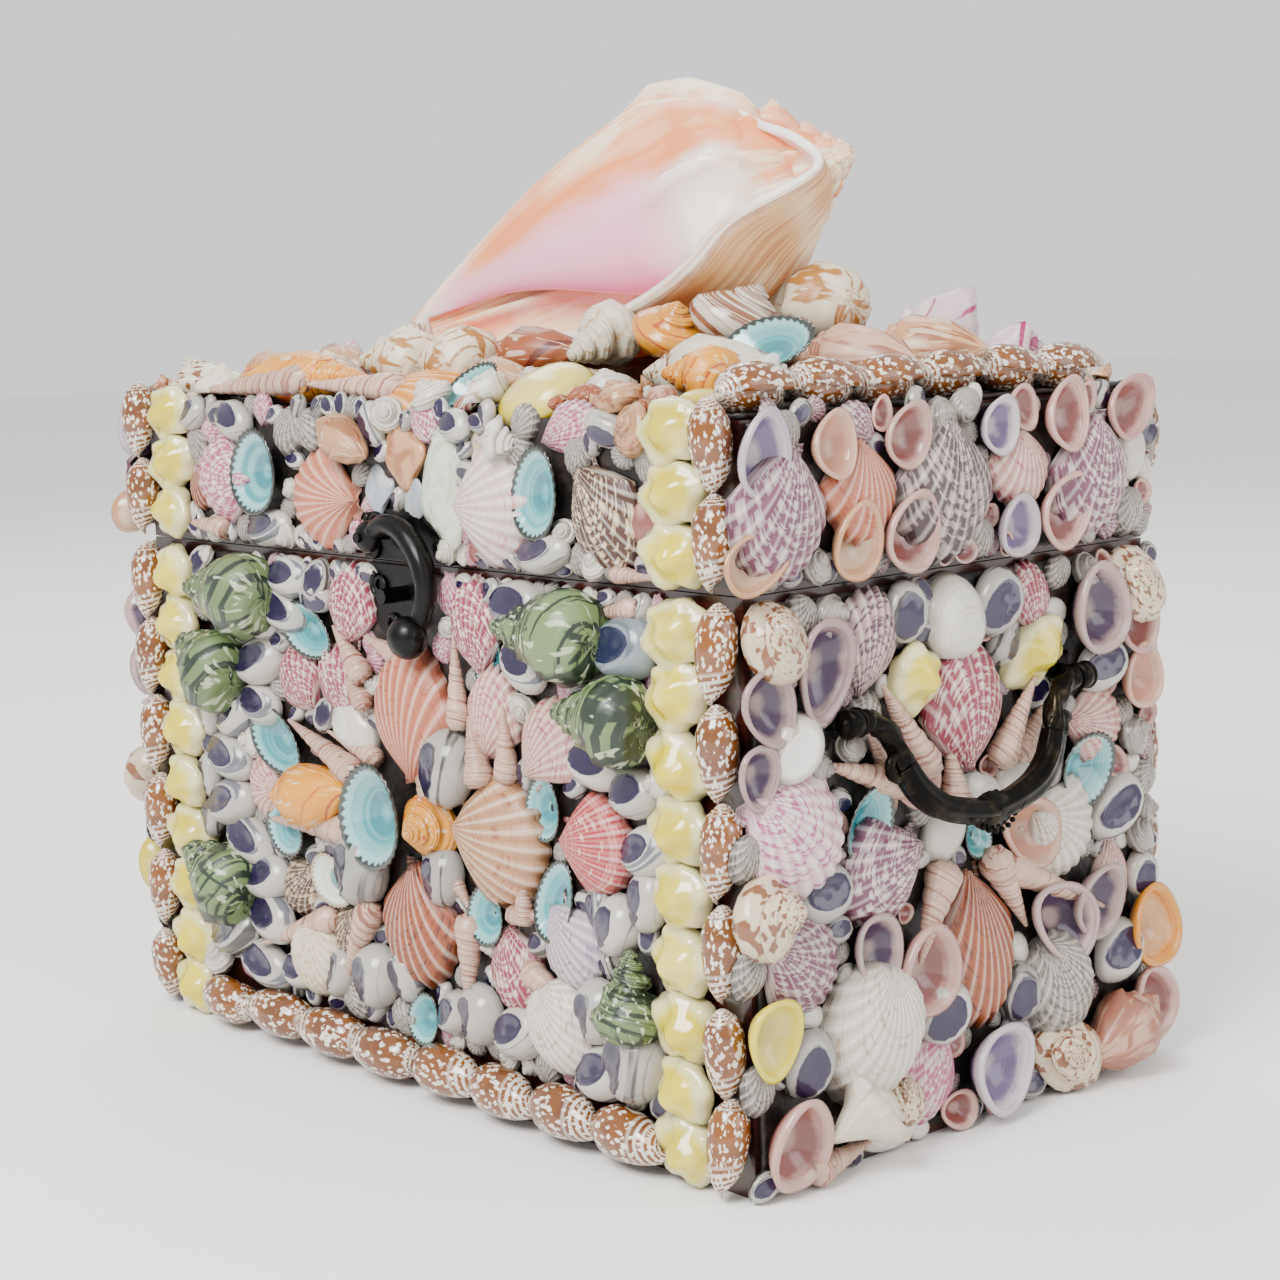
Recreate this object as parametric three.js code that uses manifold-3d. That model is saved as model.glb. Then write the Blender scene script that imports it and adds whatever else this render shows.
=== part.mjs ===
// Shell box: a hollow wooden casket with a hinged lid, covered all over in sea shells.
// A queen conch lies on the lid, a hook clasp hangs at the front and each end has a swinging bail.
//
// Millimetres. X runs to the right along the front, Y to the back, Z up.
// The origin is in the middle of the underside, which the box stands on.

import * as THREE from 'three';
import { mergeVertices } from 'three/addons/utils/BufferGeometryUtils.js';
import Module from 'manifold-3d';

const wasm = await Module();
wasm.setup();

// ---------------------------------------------------------------- driving dimensions

const boxWidth = 346;
const boxDepth = 212;
const seamHeight = 200;
const boxHeight = 256;
const boardThickness = 9;
const gap = 0.3;              // clearance between pieces that touch

const bedThickness = 2;       // the dark glue that the shells are pressed into
const bedHalfWidth = 133;     // it stops short of the corner columns
const smallShell = 34;        // shells shorter than this have the fewest faces
const fieldFit = 0.9;         // the small shells are this part of their size, so that neighbours only touch
const seamStrip = 2;          // bare board each side of the seam
const hingeStrip = 16;        // and at the back, where the lid turns

const cowriePitch = 22;
const cowrieColumn = 148;     // distance of the cowrie columns from the middle
const olivePitch = 33;
const oliveColumn = 168;      // the olive columns stand on the corners

const hingeAxisOut = 5;       // hinge pin behind the back board
const hingeSpacing = 180;
const hingeLength = 36;
const pinRadius = 1.6;
const knuckleRadius = 3.4;

const handleMiddle = -10;     // the bails hang a little in front of the middle of the ends
const handleHeight = 156;
const handleHalfSpan = 61;
const handleAxisOut = 14;
const bailRadius = 3.6;

// ---------------------------------------------------------------- finishes

const finishes = {
  darkWood: { color: 0x2a110c, roughness: 0.35, metalness: 0 },
  blackIron: { color: 0x15130f, roughness: 0.45, metalness: 0.8 },
  bronze: { color: 0x2b241b, roughness: 0.4, metalness: 0.9 },
  mixedShell: { color: 0xc9a79c, roughness: 0.5, metalness: 0 },
  yellowCowrie: { color: 0xe9e08a, roughness: 0.3, metalness: 0 },
  brownOlive: { color: 0x8d5f38, roughness: 0.3, metalness: 0 },
  roseScallop: { color: 0xc98a78, roughness: 0.5, metalness: 0 },
  purpleScallop: { color: 0x9c7284, roughness: 0.5, metalness: 0 },
  blueLimpet: { color: 0x86c9cf, roughness: 0.25, metalness: 0 },
  greenTurban: { color: 0x6f8a4e, roughness: 0.4, metalness: 0 },
  orangeShell: { color: 0xdf9a5a, roughness: 0.35, metalness: 0 },
  creamShell: { color: 0xe6dcc0, roughness: 0.35, metalness: 0 },
  pinkConch: { color: 0xecc0b4, roughness: 0.3, metalness: 0 },
};

// ---------------------------------------------------------------- solids and joins

const group = new THREE.Group();

function solid(geometry) {
  const bare = geometry.clone();
  bare.deleteAttribute('normal');
  bare.deleteAttribute('uv');
  const merged = mergeVertices(bare, 1e-4);
  return new wasm.Manifold(new wasm.Mesh({
    numProp: 3,
    vertProperties: new Float32Array(merged.attributes.position.array),
    triVerts: new Uint32Array(merged.index.array),
  }));
}

function geometryOf(piece) {
  const mesh = piece.getMesh();
  const geometry = new THREE.BufferGeometry();
  geometry.setAttribute('position', new THREE.BufferAttribute(mesh.vertProperties, 3));
  geometry.setIndex(new THREE.BufferAttribute(mesh.triVerts, 1));
  return geometry;
}

function add(name, piece, finish) {
  const mesh = new THREE.Mesh(geometryOf(piece), new THREE.MeshStandardMaterial(finishes[finish]));
  mesh.name = name;
  mesh.geometry.computeVertexNormals();
  group.add(mesh);
}

function union(pieces) {
  return pieces.reduce((whole, piece) => whole.add(piece));
}

function largest(piece) {
  return piece.decompose().reduce((best, part) => (part.volume() > best.volume() ? part : best));
}

// Every piece that stands on the box is remembered a little enlarged, and later ones are cut back to it.
const standing = [];

function meet(a, b) {
  const p = a.boundingBox();
  const q = b.boundingBox();
  return [0, 1, 2].every((axis) => p.min[axis] < q.max[axis] && q.min[axis] < p.max[axis]);
}

function fitted(piece) {
  const near = standing.filter((other) => meet(piece, other));
  return largest(near.reduce((rest, other) => rest.subtract(other), piece));
}

function box(size, centre) {
  const geometry = new THREE.BoxGeometry(...size);
  geometry.translate(...centre);
  return solid(geometry);
}

// A rod between two points, with flat ends.
function rod(start, end, radius, sides = 8) {
  const a = new THREE.Vector3(...start);
  const b = new THREE.Vector3(...end);
  const geometry = new THREE.CylinderGeometry(radius, radius, a.distanceTo(b), sides);
  const turn = new THREE.Quaternion();
  turn.setFromUnitVectors(new THREE.Vector3(0, 1, 0), b.clone().sub(a).normalize());
  geometry.applyQuaternion(turn);
  const middle = a.add(b).multiplyScalar(0.5);
  geometry.translate(middle.x, middle.y, middle.z);
  return solid(geometry);
}

function ball(centre, radius, detail = 0) {
  const geometry = new THREE.IcosahedronGeometry(radius, detail);
  geometry.translate(...centre);
  return solid(geometry);
}

// A bar bent along a smooth curve through the points.
function bentBar(points, radius, sides, steps) {
  const section = new THREE.Shape();
  for (let i = 0; i < sides; i++) {
    const angle = (2 * Math.PI * i) / sides;
    const x = radius * Math.cos(angle);
    const y = radius * Math.sin(angle);
    if (i === 0) section.moveTo(x, y);
    else section.lineTo(x, y);
  }
  const path = new THREE.CatmullRomCurve3(points.map((point) => new THREE.Vector3(...point)));
  return solid(new THREE.ExtrudeGeometry(section, { steps, extrudePath: path, bevelEnabled: false }));
}

// A closed skin over rings of points, from the lowest ring up; a ring of one point is a tip.
function loft(rings) {
  const faces = [];
  let start = 0;
  rings.slice(0, -1).forEach((ring, level) => {
    const above = rings[level + 1];
    const next = start + ring.length;
    const sides = Math.max(ring.length, above.length);
    for (let i = 0; i < sides; i++) {
      const j = (i + 1) % sides;
      if (ring.length > 1) faces.push(start + i, start + j, next + (above.length > 1 ? j : 0));
      if (above.length > 1) faces.push(start + (ring.length > 1 ? i : 0), next + j, next + i);
    }
    start = next;
  });
  for (let i = 1; i + 1 < rings[0].length; i++) faces.push(0, i + 1, i);
  for (let i = 1; i + 1 < rings.at(-1).length; i++) faces.push(start, start + i, start + i + 1);
  const geometry = new THREE.BufferGeometry();
  geometry.setAttribute('position', new THREE.Float32BufferAttribute(rings.flat(2), 3));
  geometry.setIndex(faces);
  return geometry;
}

// ---------------------------------------------------------------- shell forms
// Each form lies on the plane z = 0 with its spire, tip or hinge towards +x. "grow" is the
// clearance that the remembered copy adds on every side.

function oval(scale, height, length, width, sides, pinch = 0) {
  return Array.from({ length: sides }, (_, i) => {
    const angle = (2 * Math.PI * (i + 0.5)) / sides;
    const across = Math.sin(angle) * (1 - pinch * Math.cos(angle));
    return [(scale * length * Math.cos(angle)) / 2, (scale * width * across) / 2, height];
  });
}

function section(x, radius, height, sides) {
  return Array.from({ length: sides }, (_, i) => {
    const angle = (2 * Math.PI * (i + 0.25)) / sides;
    return [x, radius * Math.cos(angle), height + radius * Math.sin(angle)];
  });
}

// The remembered copy of a sloping side has to grow twice the clearance to keep it square to the slope.
const spread = (size, grow) => size + 4 * grow;

function dome({ length, width, height, grow, pinch = 0 }) {
  const long = spread(length, grow);
  const wide = spread(width, grow);
  const top = height + grow;
  if (length < smallShell) return loft([oval(1, -grow, long, wide, 5, pinch), [[0, 0, top]]]);
  return loft([oval(1, -grow, long, wide, 6, pinch), oval(0.6, top, long, wide, 6, pinch)]);
}

function cup({ length, width, height, grow }) {
  const long = spread(length, grow);
  const wide = spread(width, grow);
  const small = length < smallShell;
  const sides = small ? 4 : 6;
  const wall = [oval(0.6, -grow, long, wide, sides), oval(1, height + grow, long, wide, sides)];
  return loft(small || grow > 0 ? wall : [...wall, [[0, 0, 0.4 * height]]]);
}

function spindle({ length, width, grow, back = 0.5, waist = 0, sides = 4 }) {
  const half = length / 2 + 2 * grow;
  const radius = width / 2 + 2 * grow;
  const middle = width / 2;
  return loft([
    section(-half, back * radius, 0.8 * middle, sides),
    section(waist * half, radius, middle, sides),
    [[half, 0, 0.6 * middle]],
  ]);
}

function tower({ length, width, grow }) {
  const half = length / 2 + 2 * grow;
  const radius = width / 2 + 2 * grow;
  return loft([section(-half, radius, width / 2, 4), [[half, 0, 0.35 * width]]]);
}

function slab({ length, width, height, grow }) {
  const geometry = new THREE.BoxGeometry(length + 2 * grow, width + 2 * grow, height + 2 * grow);
  geometry.translate(0, 0, height / 2);
  return geometry;
}

// How high each kind stands for its width, and the form that carries it.
const kinds = {
  'cowrie': { form: dome, rise: 0.6 },
  'scallop': { form: dome, rise: 0.26, pinch: 0.35 },
  'cockle': { form: dome, rise: 0.38, pinch: 0.25 },
  'clam': { form: dome, rise: 0.36, pinch: 0.2 },
  'nerite': { form: dome, rise: 0.52 },
  'moon': { form: dome, rise: 0.75 },
  'limpet': { form: cup, rise: 0.32 },
  'open clam': { form: cup, rise: 0.36 },
  'olive': { form: spindle, back: 0.75, waist: 0.25 },
  'turban': { form: spindle, back: 0.85, waist: -0.3 },
  'whelk': { form: spindle, back: 0.35, waist: -0.25 },
  'murex': { form: spindle, back: 0.55, waist: 0.1 },
  'tower': { form: tower },
  'chip': { form: slab, rise: 0.16 },
  'heap': { form: dome, rise: 0.13 },
};

// A row is [kind, across, up, turn, length, width, lift, lean]: the place of its middle on the face,
// the heading of its spire or hinge in degrees, its size, and, on the lid, how high it is piled up
// and how far it leans to the front.
function shell([kind, across, up, turn, length, width, lift = 0, lean = 0], face, grow = 0) {
  const { form, rise = 0, ...shape } = kinds[kind];
  const geometry = form({ length, width, height: rise * width, grow, ...shape });
  geometry.rotateZ(THREE.MathUtils.degToRad(turn));
  geometry.rotateX(THREE.MathUtils.degToRad(lean));
  geometry.translate(across, up, lift);
  geometry.applyMatrix4(face.matrix);
  return solid(geometry);
}

function towerRow([tipX, tipY, baseX, baseY, width, lift = 0]) {
  const turn = THREE.MathUtils.radToDeg(Math.atan2(tipY - baseY, tipX - baseX));
  const length = Math.hypot(tipX - baseX, tipY - baseY);
  return ['tower', (tipX + baseX) / 2, (tipY + baseY) / 2, turn, length, width, lift];
}

// The same arrangement on the opposite end.
function mirrored(rows) {
  return rows.map(([kind, across, up, turn, ...rest]) => [kind, -across, up, 180 - turn, ...rest]);
}

// ---------------------------------------------------------------- faces of the box

function faceAt(rightward, upward, corner) {
  const right = new THREE.Vector3(...rightward);
  const up = new THREE.Vector3(...upward);
  const out = new THREE.Vector3().crossVectors(right, up);
  const origin = new THREE.Vector3(...corner).addScaledVector(out, gap);
  const matrix = new THREE.Matrix4().makeBasis(right, up, out).setPosition(origin);
  return { matrix };
}

const faces = {
  front: faceAt([1, 0, 0], [0, 0, 1], [0, -boxDepth / 2, 0]),
  back: faceAt([-1, 0, 0], [0, 0, 1], [0, boxDepth / 2, 0]),
  right: faceAt([0, 1, 0], [0, 0, 1], [boxWidth / 2, 0, 0]),
  left: faceAt([0, -1, 0], [0, 0, 1], [-boxWidth / 2, 0, 0]),
  top: faceAt([1, 0, 0], [0, 1, 0], [0, 0, boxHeight]),
};

// A flat glue bed on a face, between two distances across and two heights.
function bed(face, fromAcross, toAcross, fromUp, toUp, thickness = bedThickness) {
  const geometry = new THREE.BoxGeometry(toAcross - fromAcross, toUp - fromUp, thickness);
  geometry.translate((fromAcross + toAcross) / 2, (fromUp + toUp) / 2, thickness / 2);
  geometry.applyMatrix4(face.matrix);
  return solid(geometry);
}

// ---------------------------------------------------------------- the arrangement of the shells
// Rows of [kind, across, up, turn, length, width] on each face; towers run from tip to base:
// [tip across, tip up, base across, base up, width].

const frontCaseShells = [
  ['turban', -107, 185, 180, 54, 31],
  ['turban', -124, 152, 160, 40, 32],
  ['turban', -124, 65, 160, 42, 32],
  ['turban', 88, 182, 180, 51, 30],
  ['turban', 115, 156, 180, 39, 29],
  ['turban', 125, 62, 90, 28, 24],
  ['scallop', -67, 150, -55, 26, 25],
  ['scallop', -40, 152, -65, 28, 26],
  ['scallop', -31, 183, -100, 29, 27],
  ['scallop', -72, 67, 40, 25, 23],
  ['cockle', -62, 39, 70, 29, 28],
  ['scallop', 43, 181, -80, 32, 27],
  ['scallop', 51, 149, -110, 34, 27],
  ['scallop', 83, 143, -130, 33, 30],
  ['scallop', 59, 57, 110, 31, 27],
  ['scallop', 91, 72, 130, 31, 29],
  ['cockle', 86, 41, 120, 32, 30],
  ['clam', -32, 134, 150, 25, 18],
  ['limpet', -57, 170, -20, 30, 18],
  ['limpet', -80, 124, -25, 34, 21],
  ['limpet', -76, 90, -10, 26, 21],
  ['limpet', 84, 87, 80, 27, 17],
  ['nerite', -92, 155, 20, 25, 17],
  ['nerite', -116, 114, -10, 29, 17],
  ['nerite', -116, 95, 15, 29, 18],
  ['nerite', -104, 81, -20, 27, 17],
  ['nerite', -94, 67, 10, 25, 17],
  ['nerite', -90, 51, -10, 27, 18],
  ['nerite', -117, 41, 15, 31, 20],
  ['nerite', -97, 31, -15, 30, 17],
  ['nerite', -27, 82, 60, 29, 25],
  ['nerite', 27, 127, 70, 27, 23],
  ['nerite', 124, 38, 70, 27, 24],
  ['nerite', 107, 30, 20, 25, 18],
  ['nerite', 124, 180, 10, 26, 20],
];
const frontCaseTowers = [
  [-70, 133, -26, 118, 13],
  [-46, 132, -18, 125, 9],
  [-41, 172, -21, 156, 11],
  [-38, 158, -20, 145, 10],
  [-87, 92, -30, 97, 14],
  [-92, 41, -52, 57, 13],
  [-45, 31, -21, 67, 13],
  [31, 174, 35, 144, 10],
  [61, 153, 59, 128, 11],
  [40, 146, 48, 124, 13],
  [39, 130, 24, 114, 9],
  [36, 76, 22, 94, 10],
  [38, 39, 34, 71, 13],
  [67, 95, 66, 77, 10],
  [77, 80, 59, 78, 8],
  [96, 48, 69, 60, 11],
  [5, 131, 14, 114, 9],
  [-21, 171, -2, 166, 9],
  [104, 189, 129, 194, 8],
];
const frontLidShells = [
  ['scallop', -111, 227, 0, 36, 33],
  ['nerite', -82, 207, 10, 27, 13],
  ['whelk', -27, 244, 160, 33, 16],
  ['chip', 27, 230, -90, 39, 26],
  ['scallop', 57, 221, 180, 35, 40],
  ['nerite', 82, 206, 10, 26, 13],
  ['scallop', 95, 252, 200, 30, 16],
];
const frontLidTowers = [
  [-137, 208, -111, 207, 10],
  [140, 202, 118, 202, 7],
];
const rightCaseShells = [
  ['clam', -9, 188, -90, 27, 27],
  ['scallop', -54, 181, -100, 34, 30],
  ['cowrie', 34, 166, 40, 30, 20],
  ['open clam', -79, 174, -100, 32, 22],
  ['open clam', -104, 165, -60, 25, 20],
  ['open clam', 66, 179, 100, 30, 27],
  ['open clam', -54, 73, -90, 26, 20],
  ['open clam', -31, 65, 90, 29, 27],
  ['open clam', 44, 67, 150, 36, 25],
  ['open clam', 67, 71, 60, 26, 24],
  ['open clam', -105, 57, -90, 25, 21],
  ['open clam', -95, 21, 90, 29, 25],
  ['open clam', 8, 20, 30, 31, 28],
  ['open clam', 101, 24, 120, 28, 23],
  ['open clam', 100, 53, 90, 28, 26],
  ['open clam', 27, 102, 160, 28, 22],
  ['nerite', 81, 102, 30, 28, 19],
  ['nerite', 82, 46, 30, 25, 20],
  ['scallop', -90, 121, 140, 42, 42],
  ['scallop', -88, 77, 150, 38, 34],
  ['cockle', -56, 46, 80, 44, 42],
  ['scallop', 49, 99, 150, 34, 38],
  ['scallop', 71, 135, 170, 33, 27],
  ['scallop', 82, 74, 90, 32, 20],
  ['scallop', -26, 23, 60, 33, 30],
  ['scallop', 24, 24, 100, 26, 20],
  ['cockle', 47, 40, 120, 38, 34],
  ['limpet', -55, 120, 80, 26, 20],
  ['limpet', 63, 120, 30, 27, 24],
  ['moon', -106, 97, 20, 27, 25],
  ['moon', 91, 191, 120, 27, 22],
  ['moon', 48, 13, 150, 29, 24],
  ['murex', -68, 24, 20, 30, 27],
  ['whelk', 79, 19, 20, 39, 26],
  ['clam', -44, 8, 0, 26, 12],
];
const rightCaseTowers = [
  [-33, 68, -17, 96, 15],
  [27, 69, 6, 97, 14],
  [72, 66, 14, 92, 13],
  [-50, 164, -25, 133, 14],
  [-73, 141, -40, 130, 13],
  [-55, 150, -42, 131, 10],
  [31, 156, 14, 130, 13],
  [39, 147, 25, 130, 11],
  [46, 142, 36, 126, 10],
  [-12, 138, -12, 118, 12],
  [-57, 9, -86, 6, 12],
];
const rightLidShells = [
  ['scallop', -94, 222, 80, 42, 40],
  ['scallop', -55, 230, 90, 32, 33],
  ['scallop', -14, 225, 90, 46, 46],
  ['scallop', 28, 232, 90, 27, 30],
  ['scallop', 67, 225, 90, 43, 42],
  ['open clam', -104, 247, 90, 26, 20],
  ['open clam', 50, 249, 60, 25, 20],
  ['open clam', 88, 250, 30, 27, 19],
  ['open clam', -106, 209, 20, 27, 17],
  ['open clam', -35, 213, 70, 25, 23],
  ['open clam', 49, 213, 40, 28, 22],
];

const lidTopShells = [
  ['moon', -150, -95, 200, 25, 22, 0, 0],
  ['murex', -74, -80, 0, 30, 20, 2, 0],
  ['murex', -98, -78, 180, 32, 20, 2, 0],
  ['whelk', -126, -76, 180, 36, 18, 2, 0],
  ['turban', -45, -76, 180, 38, 27, 4, 0],
  ['turban', -14, -74, 180, 38, 28, 4, 0],
  ['murex', -62, -56, 150, 34, 24, 10, 0],
  ['clam', 67, -94, 0, 36, 30, 1, 25],
  ['turban', 131, -84, 180, 28, 20, 4, 0],
  ['whelk', 22, -80, 200, 30, 16, 2, 0],
  ['moon', 93, -58, -20, 25, 24, 18, 0],
  ['moon', 113, -46, 30, 30, 28, 20, 0],
  ['turban', 96, 2, 180, 50, 30, 20, 0],
  ['whelk', 140, -18, 190, 46, 24, 4, 0],
  ['whelk', 146, 12, 200, 44, 24, 6, 0],
  ['murex', 128, 38, 100, 34, 30, 12, 0],
  ['murex', 140, 62, 60, 30, 24, 4, 0],
  ['murex', -128, 34, 120, 34, 28, 12, 0],
  ['murex', -134, 2, 170, 34, 22, 8, 0],
  ['murex', -140, -28, 180, 34, 22, 2, 0],
  ['whelk', -116, -50, 170, 36, 20, 2, 0],
];
const lidTopTowers = [
  [-128, -107, -62, -104, 14, 0],
  [-56, -106, -8, -101, 14, 0],
  [-92, -92, -48, -90, 13, 0],
  [128, -62, 168, -58, 11, 4],
];

// ---------------------------------------------------------------- the wooden box

const innerWidth = boxWidth - 2 * boardThickness;
const innerDepth = boxDepth - 2 * boardThickness;

const caseBlock = box([boxWidth, boxDepth, seamHeight - 0.2], [0, 0, (seamHeight - 0.2) / 2]);
const caseRoom = box([innerWidth, innerDepth, seamHeight], [0, 0, seamHeight / 2 + boardThickness]);
add('case_box', caseBlock.subtract(caseRoom), 'darkWood');

const lidRise = boxHeight - seamHeight;
const lidBlock = box([boxWidth, boxDepth, lidRise - 0.2], [0, 0, seamHeight + lidRise / 2 + 0.1]);
const lidRoom = box([innerWidth, innerDepth, lidRise], [0, 0, seamHeight + lidRise / 2 - boardThickness]);
add('lid_box', lidBlock.subtract(lidRoom), 'darkWood');
standing.push(box([boxWidth + 2 * gap, boxDepth + 2 * gap, boxHeight + gap], [0, 0, (boxHeight + gap) / 2]));

// ---------------------------------------------------------------- hinges, at the back

const hingeY = boxDepth / 2 + hingeAxisOut;

// A barrel with the web that joins it to its leaf, below the seam or above it.
function knuckle(from, to, side) {
  const barrel = rod([from, hingeY, seamHeight], [to, hingeY, seamHeight], knuckleRadius);
  const webThickness = hingeAxisOut - gap;
  const webY = boxDepth / 2 + gap + webThickness / 2;
  return barrel.add(box([to - from, webThickness, 4.5], [(from + to) / 2, webY, seamHeight + 0.75 * side]));
}

function hinge(name, centre) {
  const third = hingeLength / 3;
  const reach = hingeLength / 2;
  const along = (from, to, radius) => (
    rod([centre + from, hingeY, seamHeight], [centre + to, hingeY, seamHeight], radius)
  );
  const bore = along(-reach - 9, reach + 9, pinRadius + gap);
  const leaf = (side) => box([hingeLength, 1.6, 11.2], [centre, boxDepth / 2 + gap + 0.8, seamHeight + 7.4 * side]);
  const caseLeaf = union([
    knuckle(centre - reach, centre - third / 2 - gap, -1),
    knuckle(centre + third / 2 + gap, centre + reach, -1),
    leaf(-1),
  ]);
  const lidLeaf = knuckle(centre - third / 2 + gap, centre + third / 2 - gap, 1).add(leaf(1));
  add(`${name}_case_leaf`, caseLeaf.subtract(bore), 'bronze');
  add(`${name}_lid_leaf`, lidLeaf.subtract(bore), 'bronze');
  add(`${name}_pin`, along(-reach - 1, reach + 1, pinRadius), 'bronze');
}

hinge('hinge_left', -hingeSpacing / 2);
hinge('hinge_right', hingeSpacing / 2);

// ---------------------------------------------------------------- hook clasp, at the front

const plateThickness = 3;
const plateFront = boxDepth / 2 + gap + plateThickness;
const hookPivot = [-9, 210];
const hookOut = 117;
const hookBall = [16, 175];
const hookBallRadius = 8;
const hookArm = [[0, 215], [11, 213], [20, 205], [24, 194], [21, 184]];
const pegPlace = [2, 189];

function plate(outline) {
  const shape = new THREE.Shape();
  shape.moveTo(...outline[0]);
  outline.slice(1).forEach(([cornerX, cornerZ, x, z]) => shape.quadraticCurveTo(cornerX, cornerZ, x, z));
  const geometry = new THREE.ExtrudeGeometry(shape, { depth: plateThickness, bevelEnabled: false, curveSegments: 3 });
  geometry.applyMatrix4(faces.front.matrix);
  return solid(geometry);
}

const lidPlate = plate([
  [-22, 201], [4, 201, 30, 201], [31, 208, 24, 211], [16, 214, 8, 219], [-6, 221, -18, 218], [-25, 214, -22, 201],
]);
const casePlate = plate([
  [15, 199], [-2, 199, -20, 199], [-23, 188, -18, 180], [-14, 170, -4, 170], [9, 170, 13, 180], [18, 188, 15, 199],
]);

const hookPin = rod([hookPivot[0], -plateFront + 1, hookPivot[1]], [hookPivot[0], -hookOut - 6, hookPivot[1]], 2);
const peg = rod([pegPlace[0], -plateFront + 1, pegPlace[1]], [pegPlace[0], -hookOut - 4, pegPlace[1]], 3);
add('clasp_lid_plate', lidPlate.add(hookPin), 'blackIron');
add('clasp_case_plate', casePlate.add(peg), 'blackIron');

const armPath = [hookPivot, ...hookArm, hookBall].map(([x, z]) => [x, -hookOut, z]);
const hookBoss = rod([hookPivot[0], -plateFront - gap, hookPivot[1]], [hookPivot[0], -hookOut - 4, hookPivot[1]], 6, 10);
const hookBore = rod([hookPivot[0], -plateFront, hookPivot[1]], [hookPivot[0], -hookOut - 7, hookPivot[1]], 2 + gap);
const hook = union([
  hookBoss,
  bentBar(armPath, 3.6, 5, 9),
  ball([hookBall[0], -hookOut - 4, hookBall[1]], hookBallRadius, 1),
]);
add('clasp_hook', hook.subtract(hookBore), 'blackIron');

// Shells stay off the plates.
standing.push(box([56.5, 14, 23], [3.75, -boxDepth / 2 - 7, 210]));
standing.push(box([40, 14, 33], [-2.5, -boxDepth / 2 - 7, 184.5]));

// ---------------------------------------------------------------- bail handles, at the ends

const bailPinRadius = 2.4;
const bailLean = 0.2;         // the bail rests on the shells and leans out by this much of its drop
const bailHalf = [[55, 0], [49, 2], [43, 8], [40, 17], [35, 25], [26, 32], [13, 36]];
const bailDrop = 38;

function onEnd(face, piece) {
  return piece.transform(face.matrix.elements);
}

function handle(name, face, middle) {
  const at = (along, drop) => [middle + along, handleHeight - drop, handleAxisOut + bailLean * drop];
  for (const [side, label] of [[-1, 'a'], [1, 'b']]) {
    const centre = middle + side * handleHalfSpan;
    const rosette = rod([centre, handleHeight, 0], [centre, handleHeight, 3], 10);
    const stem = rod([centre, handleHeight, 2], [centre, handleHeight, handleAxisOut], 3.4);
    const eye = rod(at(side * handleHalfSpan - 3.5, 0), at(side * handleHalfSpan + 3.5, 0), 5.4);
    const bore = rod(at(side * handleHalfSpan - 9, 0), at(side * handleHalfSpan + 9, 0), bailPinRadius + gap);
    add(`${name}_post_${label}`, onEnd(face, union([rosette, stem, eye]).subtract(bore)), 'bronze');
    standing.push(onEnd(face, rod([centre, handleHeight, -1], [centre, handleHeight, 25], 10.6, 10)));
  }
  const path = [
    ...bailHalf.map(([along, drop]) => at(-along, drop)),
    at(0, bailDrop),
    ...bailHalf.map(([along, drop]) => at(along, drop)).reverse(),
  ];
  const knob = new THREE.IcosahedronGeometry(1, 0);
  knob.scale(15, 7, 5.5);
  knob.translate(...at(0, bailDrop));
  const bail = union([
    bentBar(path, bailRadius, 5, 12),
    rod(at(-66, 0), at(-54, 0), bailPinRadius),
    rod(at(54, 0), at(66, 0), bailPinRadius),
    ball(at(-42, 17), 5.4),
    ball(at(42, 17), 5.4),
    solid(knob),
  ]);
  add(`${name}_bail`, onEnd(face, bail), 'bronze');
  standing.push(onEnd(face, bentBar(path, bailRadius + 0.9, 4, 12)));
}

handle('handle_right', faces.right, handleMiddle);
handle('handle_left', faces.left, -handleMiddle);

// ---------------------------------------------------------------- shell rows in columns

function column(kind, across, pitch, first, count, turn, length, width) {
  return Array.from({ length: count }, (_, i) => [kind, across, first + i * pitch, turn, length, width]);
}

// Shells that touch each other are one piece: their union, cut back to what stands already.
function fused(rows, face, zone, extra = []) {
  const whole = union([...extra, ...rows.map((row) => shell(row, face))]);
  return fitted(zone ? whole.intersect(zone) : whole);
}

function addColumn(name, rows, face, finish) {
  add(name, fused(rows, face), finish);
  standing.push(union(rows.map((row) => shell(row, face, gap))));
}

for (const [side, label] of [[-1, 'left'], [1, 'right']]) {
  const cowries = side * cowrieColumn;
  const olives = side * oliveColumn;
  addColumn(`case_cowries_${label}`, column('cowrie', cowries, cowriePitch, 12, 9, 0, 29, 23.5), faces.front, 'yellowCowrie');
  addColumn(`lid_cowries_${label}`, column('cowrie', cowries, 20, 212, 3, 0, 29, 21.5), faces.front, 'yellowCowrie');
  addColumn(`case_olives_${label}`, column('olive', olives, olivePitch, 18, 6, 90, 34.5, 15), faces.front, 'brownOlive');
  addColumn(`lid_olives_${label}`, column('olive', olives, 31, 217.5, 2, 90, 32.5, 15), faces.front, 'brownOlive');
}

// The bottom row runs in from both corners, spires to the right on the left half, to the middle on the right.
const bottomLeft = [-121, -86, -51, -16].map((across) => ['olive', across, 15.5, 0, 37, 17]);
const bottomRight = [24, 57.5, 91, 124].map((across) => ['olive', across, 15.5, 180, 36, 17]);
addColumn('bottom_olives_left', bottomLeft, faces.front, 'brownOlive');
addColumn('bottom_olives_right', bottomRight, faces.front, 'brownOlive');

// ---------------------------------------------------------------- queen conch, on the lid

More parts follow.
